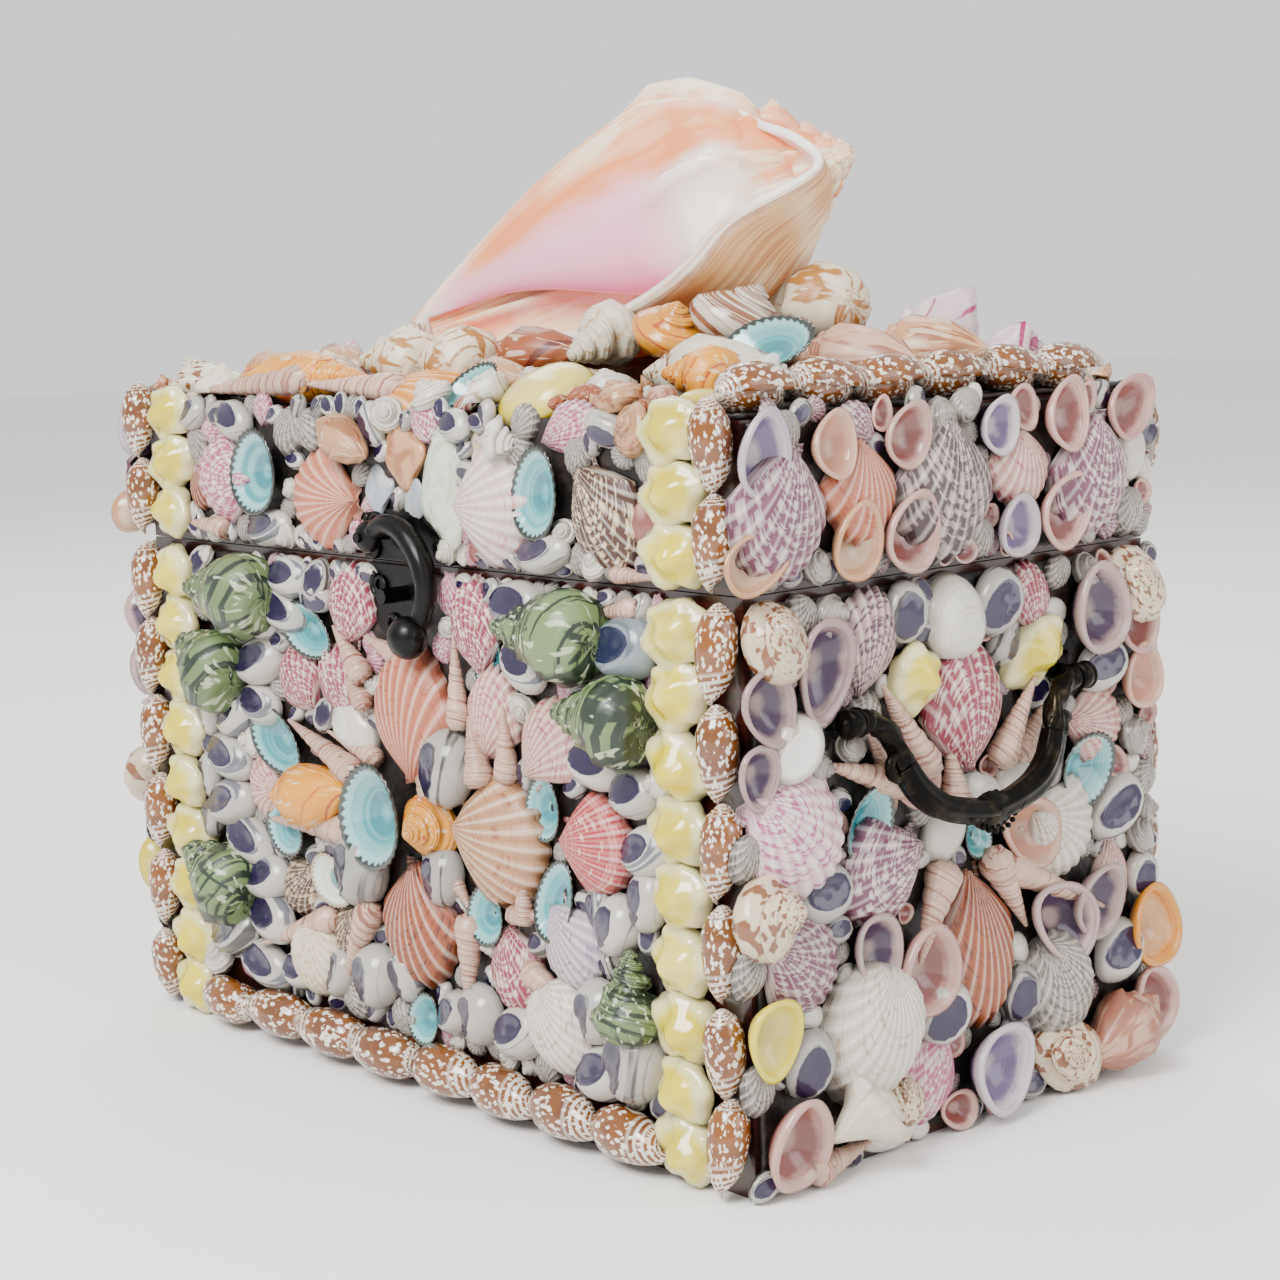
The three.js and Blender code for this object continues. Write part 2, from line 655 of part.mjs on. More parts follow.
const conchTail = new THREE.Vector3(-112, -16, 281);
const conchApex = new THREE.Vector3(112, 20, 345);
const conchLength = conchTail.distanceTo(conchApex);
const conchGirth = 52;        // radius at the shoulder
const mouthFlatness = 0.5;    // the front of the body is pressed in below the lip

// How thick the body is along its length, as [part of the length, part of the girth].
const conchProfile = [
  [0.06, 0.25], [0.16, 0.48], [0.32, 0.78], [0.47, 0.97], [0.62, 1], [0.70, 0.88], [0.76, 0.58], [0.84, 0.40], [0.92, 0.22],
];

// Local frame: x from tail to apex, y up to the crest, z out of the mouth, to the front.
const conchAxis = conchApex.clone().sub(conchTail).normalize();
const mouthOut = new THREE.Vector3(0.1, -0.9, 0.3).projectOnPlane(conchAxis).normalize();
const crestUp = new THREE.Vector3().crossVectors(mouthOut, conchAxis);
const conchFrame = new THREE.Matrix4().makeBasis(conchAxis, crestUp, mouthOut).setPosition(conchTail);

function conchSection(along, radius) {
  return Array.from({ length: 8 }, (_, i) => {
    const angle = (2 * Math.PI * i) / 8;
    const out = Math.sin(angle) * (Math.sin(angle) > 0 ? mouthFlatness : 1);
    return [along * conchLength, radius * Math.cos(angle), radius * out];
  });
}

function conchBody(grow) {
  const rings = conchProfile.map(([along, part]) => conchSection(along, part * conchGirth + grow));
  return loft([[[-grow, 0, 0]], ...rings, [[conchLength + grow, 0, 0]]]);
}

// A blunt spine on the shoulder or on the spire, so many degrees back from the crest.
function conchSpine(along, foot, height, degrees, grow) {
  const spine = new THREE.CylinderGeometry(0.18 * height + grow, 0.45 * height + grow, height + grow, 5);
  spine.translate(0, foot + height / 2, 0);
  spine.rotateX(-THREE.MathUtils.degToRad(degrees));
  spine.translate(conchLength * along, 0, 0);
  return spine;
}

// The spines, as [part of the length, foot above the axis, height, degrees back from the crest].
const conchSpines = [
  [0.575, 44, 18, 0], [0.70, 40, 17, 0], [0.62, 44, 17, 40], [0.58, 44, 17, 80], [0.60, 42, 17, 120], [0.60, 40, 14, 160],
  [0.86, 14, 13, -20], [0.88, 12, 12, 30], [0.86, 14, 13, 80], [0.88, 12, 12, 130],
];

// The flared lip: a bowl in front of the body. Each rib runs from its root on the body to the rim,
// as [part of the length, crest, front] at both ends, and bulges away from the mouth between them.
const lipRibs = [
  [[0.02, -3, -2], [0.03, -8, 6]],
  [[0.28, -22, -6], [0.28, -33, 26]],
  [[0.52, -36, -8], [0.56, -51, 42]],
  [[0.68, -42, -8], [0.72, -55, 51]],
  [[0.78, -42, -8], [0.84, -48, 55]],
  [[0.83, -36, -8], [0.90, -32, 47]],
  [[0.88, -20, -4], [0.985, -15, 26]],
  [[0.85, -2, -2], [0.94, 0, 20]],
  [[0.78, 14, 0], [0.87, 14, 18]],
  [[0.74, 24, 0], [0.80, 26, 12]],
];

function conchLip(grow) {
  const thickness = 3 + 2 * grow;
  const heart = new THREE.Vector3(0.55 * conchLength, 0, 45);
  const sheets = lipRibs.map(([root, rim]) => {
    const [a, b] = [root, rim].map(([along, crest, front]) => new THREE.Vector3(along * conchLength, crest, front));
    const middle = a.clone().lerp(b, 0.5);
    middle.addScaledVector(middle.clone().sub(heart).normalize(), 0.14 * a.distanceTo(b));
    const tip = b.clone().addScaledVector(b.clone().sub(a).normalize(), grow);
    return [a, middle, tip].map((point) => {
      const outward = point.clone().sub(heart).normalize().multiplyScalar(thickness);
      return [point.clone().sub(outward), point.clone().add(outward)].map((v) => v.toArray());
    });
  });
  return loft(sheets.map((rib) => [...rib.map((pair) => pair[0]), ...rib.map((pair) => pair[1]).reverse()]));
}

function conchSolid(grow) {
  const pieces = [conchBody(grow), conchLip(grow)];
  for (const [along, foot, height, degrees] of conchSpines) {
    pieces.push(conchSpine(along, foot, height, degrees, grow));
  }
  return largest(union(pieces.map((geometry) => solid(geometry).transform(conchFrame.elements))));
}

add('queen_conch', conchSolid(0), 'pinkConch');
standing.push(conchSolid(2 * gap));

// ---------------------------------------------------------------- the larger shells, one by one

const showpieces = [
  ['turquoise_limpet', 'front', 'blueLimpet', ['limpet', -10, 106, 80, 42, 38, 4]],
  ['orange_top_shell', 'front', 'orangeShell', ['turban', 16, 104, -20, 26, 21]],
  ['yellow_whelk', 'front', 'orangeShell', ['whelk', -54, 106, 188, 56, 27]],
  ['tan_scallop', 'front', 'roseScallop', ['scallop', 54, 104, 172, 51, 52]],
  ['rose_scallop', 'front', 'roseScallop', ['scallop', 5, 145, -84, 54, 48]],
  ['brown_scallop', 'front', 'roseScallop', ['scallop', 5, 65, 92, 50, 48]],
  ['red_scallop', 'front', 'roseScallop', ['scallop', 105, 110, 180, 38, 39]],
  ['lid_limpet_left', 'front', 'blueLimpet', ['limpet', -84, 231, 78, 35, 31]],
  ['lid_limpet_right', 'front', 'blueLimpet', ['limpet', 82, 230, 80, 34, 24]],
  ['salmon_scallop', 'front', 'roseScallop', ['scallop', -44, 222, 0, 42, 41]],
  ['mottled_scallop', 'front', 'roseScallop', ['scallop', 114, 223, 125, 43, 36]],
  ['end_purple_scallop', 'right', 'purpleScallop', ['scallop', -4, 152, -90, 50, 44]],
  ['end_brown_scallop', 'right', 'roseScallop', ['scallop', 2, 64, 98, 61, 44]],
  ['end_striped_scallop', 'right', 'purpleScallop', ['scallop', -48, 101, 20, 45, 40]],
  ['spiky_turban', 'top', 'creamShell', ['turban', 62, -60, -90, 30, 27, 14, 20]],
  ['large_blue_limpet', 'top', 'blueLimpet', ['limpet', 146, -60, 8, 42, 26, 16, 50]],
  ['small_blue_limpet', 'top', 'blueLimpet', ['limpet', 32, -95, 60, 27, 24, 2, 50]],
  ['speckled_cowrie', 'top', 'creamShell', ['turban', 119, -66, 180, 66, 30]],
  ['banded_auger', 'top', 'orangeShell', ['whelk', -74, -97, 0, 87, 24]],
  ['orange_scallop', 'top', 'orangeShell', ['scallop', -4, -92, -150, 44, 40, 1, 20]],
  ['brown_whelk', 'top', 'orangeShell', ['whelk', 20, -60, 188, 50, 24, 8]],
];

for (const [name, face, finish, row] of showpieces) {
  add(name, fitted(shell(row, faces[face])), finish);
  standing.push(shell(row, faces[face], gap));
}

// ---------------------------------------------------------------- the small shells, face by face

// The back and the left end carry the same kinds in a plainer pattern.
const roundTheRose = (kind, count, radiusAcross, radiusUp, length, width) => (
  Array.from({ length: count }, (_, i) => {
    const angle = (2 * Math.PI * (i + 0.5)) / count;
    const turn = 180 + THREE.MathUtils.radToDeg(angle);
    return [kind, radiusAcross * Math.cos(angle), 98 + radiusUp * Math.sin(angle), turn, length, width];
  })
);

const backCaseShells = [
  ['limpet', 0, 98, 90, 38, 34],
  ...roundTheRose('scallop', 8, 40, 40, 38, 36),
  ...roundTheRose('nerite', 10, 80, 69, 27, 22),
  ...[-1, 1].flatMap((side) => [
    ...column('cockle', side * 114, 40, 30, 4, 90, 34, 34),
    ...column('cowrie', side * cowrieColumn, 2 * cowriePitch, 24, 4, 0, 27, 22),
    ...column('olive', side * oliveColumn, olivePitch, 18, 5, 90, 34.5, 15),
  ]),
];

const backLidShells = [
  ...Array.from({ length: 9 }, (_, i) => ['scallop', -120 + 30 * i, 237, 90, 31, 33]),
  ...[-1, 1].flatMap((side) => [
    ...column('cowrie', side * cowrieColumn, 20, 228, 2, 0, 29, 22),
    ['olive', side * oliveColumn, 237, 90, 34, 15],
  ]),
];

const leftCaseShells = mirrored(rightCaseShells.filter((row) => row[4] >= 30));
const leftLidShells = mirrored(rightLidShells.filter((row) => row[4] >= 25));

const edgeOlives = Array.from({ length: 6 }, (_, i) => ['olive', 165, -88 + 32 * i, -90, 33, 16]);
const backOfLid = [44, 72, 98].flatMap((up, row) => (
  Array.from({ length: 6 }, (_, i) => [row === 1 ? 'scallop' : 'moon', -130 + 50 * i, up, 90, 36, 27])
));

// Zones keep the shells clear of the floor and of the seam.
function zone(fromUp, toUp) {
  return box([500, 400, toUp - fromUp], [0, 0, (fromUp + toUp) / 2]);
}

const caseZone = zone(0.5, seamHeight - seamStrip);
const edgeHeight = boxHeight + 5.5;   // up to here the rim belongs to the sides of the lid, above it to the top
const lidZone = zone(seamHeight + seamStrip, edgeHeight);
const caseBackZone = zone(0.5, seamHeight - hingeStrip);
const lidBackZone = zone(seamHeight + hingeStrip, edgeHeight);
const lidTopZone = box([boxWidth, boxDepth, 200], [0, 0, boxHeight + 100]).add(zone(edgeHeight + gap, 400));

const halfDepth = boxDepth / 2;
const halfWidth = boxWidth / 2;

function addField(name, face, rows, zoneBox, bedSize) {
  const slim = rows.map(([kind, across, up, turn, length, width, ...rest]) => (
    [kind, across, up, turn, fieldFit * length, fieldFit * width, ...rest]
  ));
  add(name, fused(slim, face, zoneBox, [bed(face, ...bedSize)]), 'mixedShell');
}

const frontRows = [...frontCaseShells, ...frontCaseTowers.map(towerRow)];
const frontLidRows = [...frontLidShells, ...frontLidTowers.map(towerRow)];
const rightRows = [...rightCaseShells, ...rightCaseTowers.map(towerRow)];
addField('case_front_shells', faces.front, frontRows, caseZone, [-bedHalfWidth, bedHalfWidth, 25, 197]);
addField('lid_front_shells', faces.front, frontLidRows, lidZone, [-bedHalfWidth, bedHalfWidth, 203, 255]);
addField('case_right_shells', faces.right, rightRows, caseZone, [2 - halfDepth, halfDepth - 2, 4, 197]);
addField('lid_right_shells', faces.right, rightLidShells, lidZone, [2 - halfDepth, halfDepth - 2, 203, 255]);
addField('case_left_shells', faces.left, leftCaseShells, caseZone, [2 - halfDepth, halfDepth - 2, 4, 197]);
addField('lid_left_shells', faces.left, leftLidShells, lidZone, [2 - halfDepth, halfDepth - 2, 203, 255]);
addField('case_back_shells', faces.back, backCaseShells, caseBackZone, [4 - halfWidth, halfWidth - 4, 8, 184]);
addField('lid_back_shells', faces.back, backLidShells, lidBackZone, [4 - halfWidth, halfWidth - 4, 216, 255]);

const topRows = [
  ...lidTopShells,
  ...lidTopTowers.map(towerRow),
  ...edgeOlives,
  ...backOfLid,
  ['heap', 0, -4, 0, 240, 120],
  ['heap', 100, -34, 0, 130, 90],
];
addField('lid_top_shells', faces.top, topRows, lidTopZone, [3 - halfWidth, halfWidth - 3, 3 - halfDepth, halfDepth - 3]);

export default group;
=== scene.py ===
# %% [markdown]
# # Shell box
# A hollow wooden casket with a hinged lid, covered all over in sea shells, with a queen conch on top.
# Craftsmen have made such boxes for two centuries by pressing shells into soft glue, face by face.
# Here each kind of shell is shaped once, the way the animal grows it, and then laid in rows.

# %%
import math
import random
import bmesh
import bpy
from mathutils import Matrix, Vector, noise


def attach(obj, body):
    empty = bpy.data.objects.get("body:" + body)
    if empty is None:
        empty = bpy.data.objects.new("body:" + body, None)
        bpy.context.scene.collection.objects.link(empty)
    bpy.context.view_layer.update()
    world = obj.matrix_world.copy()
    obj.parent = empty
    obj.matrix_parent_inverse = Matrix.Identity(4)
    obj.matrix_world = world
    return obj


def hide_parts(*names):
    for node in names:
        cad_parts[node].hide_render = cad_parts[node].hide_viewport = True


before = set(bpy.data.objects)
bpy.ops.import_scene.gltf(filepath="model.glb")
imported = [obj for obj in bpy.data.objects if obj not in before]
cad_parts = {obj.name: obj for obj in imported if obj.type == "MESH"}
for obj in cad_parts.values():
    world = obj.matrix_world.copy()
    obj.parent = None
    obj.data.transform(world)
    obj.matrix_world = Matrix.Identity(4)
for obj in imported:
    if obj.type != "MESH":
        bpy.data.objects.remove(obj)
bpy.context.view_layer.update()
MM = 0.001
chance = random.Random(7)

# %% [markdown]
# ## The camera
# A long lens a good metre away keeps the box's edges nearly parallel. The camera looks at the
# corner between the front and the right end, from a little above, and is tipped very slightly.

# %%
AZIMUTH = math.radians(47.3)
ELEVATION = math.radians(8.37)
ROLL = math.radians(-1.608)
back = Vector((math.sin(AZIMUTH) * math.cos(ELEVATION), -math.cos(AZIMUTH) * math.cos(ELEVATION),
               math.sin(ELEVATION)))
side = (-back).cross(Vector((0, 0, 1))).normalized()
above = side.cross(-back)
right = math.cos(ROLL) * side + math.sin(ROLL) * above
up = -math.sin(ROLL) * side + math.cos(ROLL) * above
lens = bpy.data.cameras.new("camera")
lens.lens = 69.07
lens.sensor_width = 36
camera = bpy.data.objects.new("camera", lens)
camera.matrix_world = Matrix.Translation((0.71785, -0.6536, 0.30099)) @ Matrix((right, up, back)).transposed().to_4x4()
bpy.context.collection.objects.link(camera)
bpy.context.scene.camera = camera

# %% [markdown]
# ## Helpers for finishes
# Shells carry three colours: the ground, the markings on it and the inside of the mouth. They are
# stored on the points of the mesh, so that hundreds of different shells share one material.

# %%
def linear(hex_colour):
    channels = [int(hex_colour[i:i + 2], 16) / 255 for i in (1, 3, 5)]
    return [c / 12.92 if c <= 0.04045 else ((c + 0.055) / 1.055) ** 2.4 for c in channels] + [1.0]


def new_material(name, roughness=0.5, metallic=0.0, **surface):
    material = bpy.data.materials.new(name)
    material.use_nodes = True
    shader = material.node_tree.nodes["Principled BSDF"]
    shader.inputs["Roughness"].default_value = roughness
    shader.inputs["Metallic"].default_value = metallic
    for socket, value in surface.items():
        shader.inputs[socket.replace("_", " ")].default_value = value
    return material, material.node_tree, shader


def add_node(tree, kind, inputs=None, **settings):
    made = tree.nodes.new(kind)
    for name, value in settings.items():
        setattr(made, name, value)
    for name, value in (inputs or {}).items():
        if isinstance(value, bpy.types.NodeSocket):
            tree.links.new(value, made.inputs[name])
        else:
            made.inputs[name].default_value = value
    return made


def blend_colours(tree, factor, first, second, way="MIX"):
    mix = add_node(tree, "ShaderNodeMix", {0: factor, 6: first, 7: second}, data_type="RGBA", blend_type=way)
    return mix.outputs[2]


def calculate(tree, operation, *values):
    return add_node(tree, "ShaderNodeMath", dict(enumerate(values)), operation=operation).outputs[0]


def step(tree, value, low, high, out_low=0.0, out_high=1.0):
    inputs = {0: value, 1: low, 2: high, 3: out_low, 4: out_high}
    return add_node(tree, "ShaderNodeMapRange", inputs, interpolation_type="SMOOTHSTEP").outputs[0]


def pattern(tree, vector, scale, detail=3.0, roughness=0.55, distortion=0.0):
    inputs = {"Vector": vector, "Scale": scale, "Detail": detail, "Roughness": roughness, "Distortion": distortion}
    return add_node(tree, "ShaderNodeTexNoise", inputs).outputs["Fac"]


def relief(tree, shader, height, strength, distance):
    bump = add_node(tree, "ShaderNodeBump", {"Height": height, "Strength": strength, "Distance": distance})
    tree.links.new(bump.outputs[0], shader.inputs["Normal"])


def shell_colours(tree):
    names = ("ground", "marking", "inside", "habit")
    nodes = [add_node(tree, "ShaderNodeAttribute", attribute_name=name) for name in names]
    parts = add_node(tree, "ShaderNodeSeparateColor", {0: nodes[3].outputs["Color"]}).outputs
    form = add_node(tree, "ShaderNodeUVMap", uv_map="form").outputs[0]
    u, v = add_node(tree, "ShaderNodeSeparateXYZ", {0: form}).outputs[:2]
    seed = calculate(tree, "MULTIPLY", nodes[3].outputs["Alpha"], 40.0)
    return [n.outputs["Color"] for n in nodes[:3]] + list(parts[:3]) + [seed, u, v]


def on_shell(tree, across, along, seed):
    return add_node(tree, "ShaderNodeCombineXYZ", {0: across, 1: along, 2: seed}).outputs[0]

# %% [markdown]
# ## Ribbed shell: scallops and cockles
# Aragonite and calcite ribs fan out from the hinge. The colour is laid down at the growing edge, so
# blotches come in arcs that step from rib to rib. The crests carry a painted highlight, the valleys a painted shade.

# %%
def ribbed_shell():
    material, tree, shader = new_material("ribbed calcite shell", 0.42, IOR=1.53, Coat_Weight=0.12)
    ground, marking, inside, blotches, bands, streaks, seed, u, v = shell_colours(tree)
    crest = calculate(tree, "COSINE", calculate(tree, "MULTIPLY", u, 2 * math.pi))
    rib = calculate(tree, "FLOOR", calculate(tree, "ADD", u, 0.5))
    spread = on_shell(tree, calculate(tree, "MULTIPLY", rib, 0.9), calculate(tree, "MULTIPLY", v, 21.0), seed)
    spot = step(tree, pattern(tree, spread, 1.0, 2.0), calculate(tree, "SUBTRACT", 0.72, blotches),
                calculate(tree, "SUBTRACT", 0.78, blotches))
    colour = blend_colours(tree, spot, ground, marking)
    arcs = pattern(tree, on_shell(tree, 0.0, calculate(tree, "MULTIPLY", v, 26.0), seed), 1.0, 2.0)
    arc = calculate(tree, "MULTIPLY", step(tree, arcs, 0.5, 0.68), bands)
    colour = blend_colours(tree, arc, colour, marking)
    # Painted highlight: the rib crests are lightened towards a warm white.
    pale = calculate(tree, "MULTIPLY", step(tree, crest, 0.2, 1.0), 0.22)
    colour = blend_colours(tree, pale, colour, linear("#fff4ea"))
    # Painted shade: the valleys between the ribs are darkened towards the marking colour.
    painted_valley_shade = calculate(tree, "MULTIPLY", step(tree, crest, -0.2, -1.0), 0.35)
    colour = blend_colours(tree, painted_valley_shade, colour, marking)
    tree.links.new(colour, shader.inputs["Base Color"])
    scales = pattern(tree, on_shell(tree, u, calculate(tree, "MULTIPLY", v, 60.0), seed), 1.0, 2.0)
    relief(tree, shader, calculate(tree, "ADD", calculate(tree, "MULTIPLY", crest, 0.5), scales), 0.45, 0.0008)
    return material


# %% [markdown]
# ## Clams, inside and out
# A clam's outside has fine rings parallel to its edge. Turned over, the inside is porcelain smooth,
# stained purple or pink towards the hinge and white along its thick edge.

# %%
def ringed_clam():
    material, tree, shader = new_material("porcelain clam shell", 0.22, IOR=1.53, Coat_Weight=0.35)
    ground, marking, inside, blotches, bands, streaks, seed, u, v = shell_colours(tree)
    rings = pattern(tree, on_shell(tree, 0.0, calculate(tree, "MULTIPLY", v, 18.0), seed), 1.0, 4.0)
    colour = blend_colours(tree, calculate(tree, "MULTIPLY", step(tree, rings, 0.42, 0.66), bands), ground, marking)
    place = add_node(tree, "ShaderNodeTexCoord").outputs["Object"]
    stain = pattern(tree, place, 110.0, 3.0)
    depth = calculate(tree, "ADD", v, calculate(tree, "MULTIPLY", stain, 0.3))
    stained = calculate(tree, "MULTIPLY", step(tree, depth, 1.06, 0.9), streaks)
    colour = blend_colours(tree, stained, colour, inside)
    colour = blend_colours(tree, calculate(tree, "MULTIPLY", step(tree, depth, 0.62, 0.3), streaks), colour, ground)
    tree.links.new(colour, shader.inputs["Base Color"])
    relief(tree, shader, rings, 0.25, 0.0004)
    return material


# %% [markdown]
# ## Limpets, seen from inside
# The bowl of a limpet is pearly: a cloudy patch in the middle, turquoise rings and a dark toothed rim.

# %%
def pearly_limpet():
    material, tree, shader = new_material("pearly limpet", 0.16, IOR=1.6, Coat_Weight=0.6, Sheen_Weight=0.0)
    ground, marking, inside, blotches, bands, streaks, seed, u, v = shell_colours(tree)
    turning = calculate(tree, "MULTIPLY", u, 0.02)
    rings = pattern(tree, on_shell(tree, turning, calculate(tree, "MULTIPLY", v, 6.5), seed), 1.0, 2.0)
    rays = calculate(tree, "COSINE", calculate(tree, "MULTIPLY", u, 2 * math.pi))
    colour = blend_colours(tree, step(tree, rings, 0.40, 0.60, 0.0, 0.9), ground, inside)
    colour = blend_colours(tree, step(tree, v, 0.7, 0.85, 0.0, 0.3), colour, linear("#bfe6e4"))
    colour = blend_colours(tree, step(tree, v, 0.52, 0.40, 0.0, 0.85), colour, linear("#1b6d78"))
    colour = blend_colours(tree, step(tree, v, 0.26, 0.12, 0.0, 0.6), colour, linear("#5fa9ab"))
    colour = blend_colours(tree, step(tree, rays, 0.3, 1.0, 0.0, 0.12), colour, ground)
    edge = calculate(tree, "ADD", v, calculate(tree, "MULTIPLY", rays, 0.03))
    colour = blend_colours(tree, step(tree, edge, 0.90, 0.95), colour, marking)
    tree.links.new(colour, shader.inputs["Base Color"])
    relief(tree, shader, rings, 0.2, 0.0005)
    return material


# %% [markdown]
# ## Snail shells
# A snail's colour runs in bands round the whorls or in streaks across them. The glossy inside of the
# mouth has a colour of its own, stored where the growth count is below zero.

# %%
def coiled_shell(name, roughness, coat, ridges, flecks=0.0):
    material, tree, shader = new_material(name, roughness, IOR=1.53, Coat_Weight=coat)
    ground, marking, inside, blotches, bands, streaks, seed, u, v = shell_colours(tree)
    band = pattern(tree, on_shell(tree, calculate(tree, "MULTIPLY", u, 9.0), calculate(tree, "MULTIPLY", v, 0.8), seed), 1.0, 2.0)
    streak = pattern(tree, on_shell(tree, calculate(tree, "MULTIPLY", u, 1.2), calculate(tree, "MULTIPLY", v, 9.0), seed), 1.0, 2.0, distortion=0.6)
    spot = pattern(tree, on_shell(tree, calculate(tree, "MULTIPLY", u, 3.5), calculate(tree, "MULTIPLY", v, 16.0), seed), 1.0, 1.0)
    colour = ground
    for value, amount in ((band, bands), (streak, streaks), (spot, blotches)):
        low = calculate(tree, "SUBTRACT", 0.8, calculate(tree, "MULTIPLY", amount, 0.42))
        factor = step(tree, value, low, calculate(tree, "ADD", low, 0.06))
        colour = blend_colours(tree, factor, colour, marking)
    fleck = pattern(tree, on_shell(tree, calculate(tree, "MULTIPLY", u, 5.0), calculate(tree, "MULTIPLY", v, 26.0), seed), 1.0, 1.0)
    colour = blend_colours(tree, step(tree, fleck, 0.6, 0.66, 0.0, flecks), colour, inside)
    # Painted shade: each turn is darkened just past the seam where it meets the turn before.
    colour = blend_colours(tree, step(tree, u, 0.06, 0.0, 0.0, 0.5), colour, marking)
    colour = blend_colours(tree, step(tree, v, 0.0, -0.01), colour, inside)
    tree.links.new(colour, shader.inputs["Base Color"])
    groove = calculate(tree, "SINE", calculate(tree, "MULTIPLY", u, 2 * math.pi * ridges))
    relief(tree, shader, calculate(tree, "ADD", groove, calculate(tree, "MULTIPLY", streak, 1.5)), 0.4, 0.0004)
    return material


# %% [markdown]
# ## Cowries and olives
# Both are polished by the animal's mantle. The money cowries are lemon yellow, paler at the edge;
# the olives are brown with white tent marks, thousands of little triangles between crossing lines.

# %%
def money_cowrie():
    material, tree, shader = new_material("money cowrie", 0.2, IOR=1.53, Coat_Weight=0.5, Subsurface_Weight=0.08)
    ground, marking, inside, blotches, bands, streaks, seed, u, v = shell_colours(tree)
    place = add_node(tree, "ShaderNodeTexCoord").outputs["Object"]
    cloud = pattern(tree, place, 70.0, 2.0)
    colour = blend_colours(tree, step(tree, cloud, 0.45, 0.7, 0.0, 0.8), ground, marking)
    colour = blend_colours(tree, step(tree, v, 0.4, 0.1, 0.0, 0.75), colour, inside)
    tree.links.new(colour, shader.inputs["Base Color"])
    relief(tree, shader, pattern(tree, place, 160.0, 2.0), 0.25, 0.0006)
    return material


def tent_olive():
    material, tree, shader = new_material("tent olive", 0.2, IOR=1.53, Coat_Weight=0.45)
    ground, marking, inside, blotches, bands, streaks, seed, u, v = shell_colours(tree)
    across = calculate(tree, "MULTIPLY", v, 24.0)
    along = calculate(tree, "MULTIPLY", u, 26.0)
    place = on_shell(tree, calculate(tree, "ADD", across, along), calculate(tree, "SUBTRACT", across, along), seed)
    wobble = pattern(tree, place, 0.7, 2.0)
    cells = add_node(tree, "ShaderNodeTexVoronoi", {"Vector": place, "Scale": 0.75, "Randomness": 1.0}, distance="CHEBYCHEV")
    limit = step(tree, wobble, 0.3, 0.75, 0.12, 0.5)
    tents = step(tree, calculate(tree, "SUBTRACT", cells.outputs["Distance"], limit), 0.05, -0.02)
    shade = pattern(tree, on_shell(tree, calculate(tree, "MULTIPLY", v, 2.0), calculate(tree, "MULTIPLY", u, 12.0), seed), 1.0, 2.0)
    brown = blend_colours(tree, step(tree, shade, 0.45, 0.62, 0.0, 0.7), ground, linear("#5a3218"))
    colour = blend_colours(tree, tents, brown, marking)
    spire = step(tree, u, 0.17, 0.13)
    spire_line = step(tree, pattern(tree, on_shell(tree, along, calculate(tree, "MULTIPLY", v, 9.0), seed), 1.0, 1.0), 0.5, 0.6, 0.0, 0.7)
    colour = blend_colours(tree, spire, colour, blend_colours(tree, spire_line, inside, ground))
    tail = step(tree, u, 0.40, 0.46, 0.0, 0.8)
    tail_line = step(tree, calculate(tree, "SINE", calculate(tree, "MULTIPLY", u, 150.0)), -0.2, 0.4)
    colour = blend_colours(tree, calculate(tree, "MULTIPLY", tail, tail_line), colour, inside)
    tree.links.new(colour, shader.inputs["Base Color"])
    relief(tree, shader, pattern(tree, place, 0.8, 2.0), 0.08, 0.0004)
    return material


# %% [markdown]
# ## Other finishes
# Sea-worn chips and nacre, the dark glue that everything is pressed into, stained wood under gloss
# varnish, black lacquered iron for the clasp and browned brass for the handles.

# %%
def worn_chip():
    material, tree, shader = new_material("sea-worn nacre", 0.35, IOR=1.53, Coat_Weight=0.2)
    ground, marking, inside, blotches, bands, streaks, seed, u, v = shell_colours(tree)
    place = add_node(tree, "ShaderNodeTexCoord").outputs["Object"]
    layers = pattern(tree, place, 90.0, 3.0, distortion=1.5)
    colour = blend_colours(tree, step(tree, layers, 0.4, 0.65, 0.0, 0.8), ground, marking)
    tree.links.new(colour, shader.inputs["Base Color"])
    relief(tree, shader, layers, 0.25, 0.0006)
    return material


def dark_glue():
    material, tree, shader = new_material("dark resin glue", 0.5)
    place = add_node(tree, "ShaderNodeTexCoord").outputs["Object"]
    lumps = pattern(tree, place, 180.0, 4.0)
    colour = blend_colours(tree, step(tree, lumps, 0.4, 0.7), linear("#0d0a09"), linear("#2b1c17"))
    tree.links.new(colour, shader.inputs["Base Color"])
    relief(tree, shader, lumps, 0.6, 0.0015)
    return material


def varnished_wood():
    material, tree, shader = new_material("varnished stained wood", 0.3, Coat_Weight=0.5)
    place = add_node(tree, "ShaderNodeTexCoord").outputs["Object"]
    stretched = add_node(tree, "ShaderNodeMapping", {"Vector": place, "Scale": (6.0, 60.0, 90.0)}).outputs[0]
    grain = pattern(tree, stretched, 1.6, 5.0, 0.65, 0.8)
    pores = pattern(tree, stretched, 9.0, 2.0)
    colour = blend_colours(tree, step(tree, grain, 0.35, 0.7), linear("#1d0a07"), linear("#4a1b12"))
    colour = blend_colours(tree, step(tree, pores, 0.62, 0.7, 0.0, 0.6), colour, linear("#0c0403"))
    tree.links.new(colour, shader.inputs["Base Color"])
    relief(tree, shader, grain, 0.15, 0.0004)
    return material


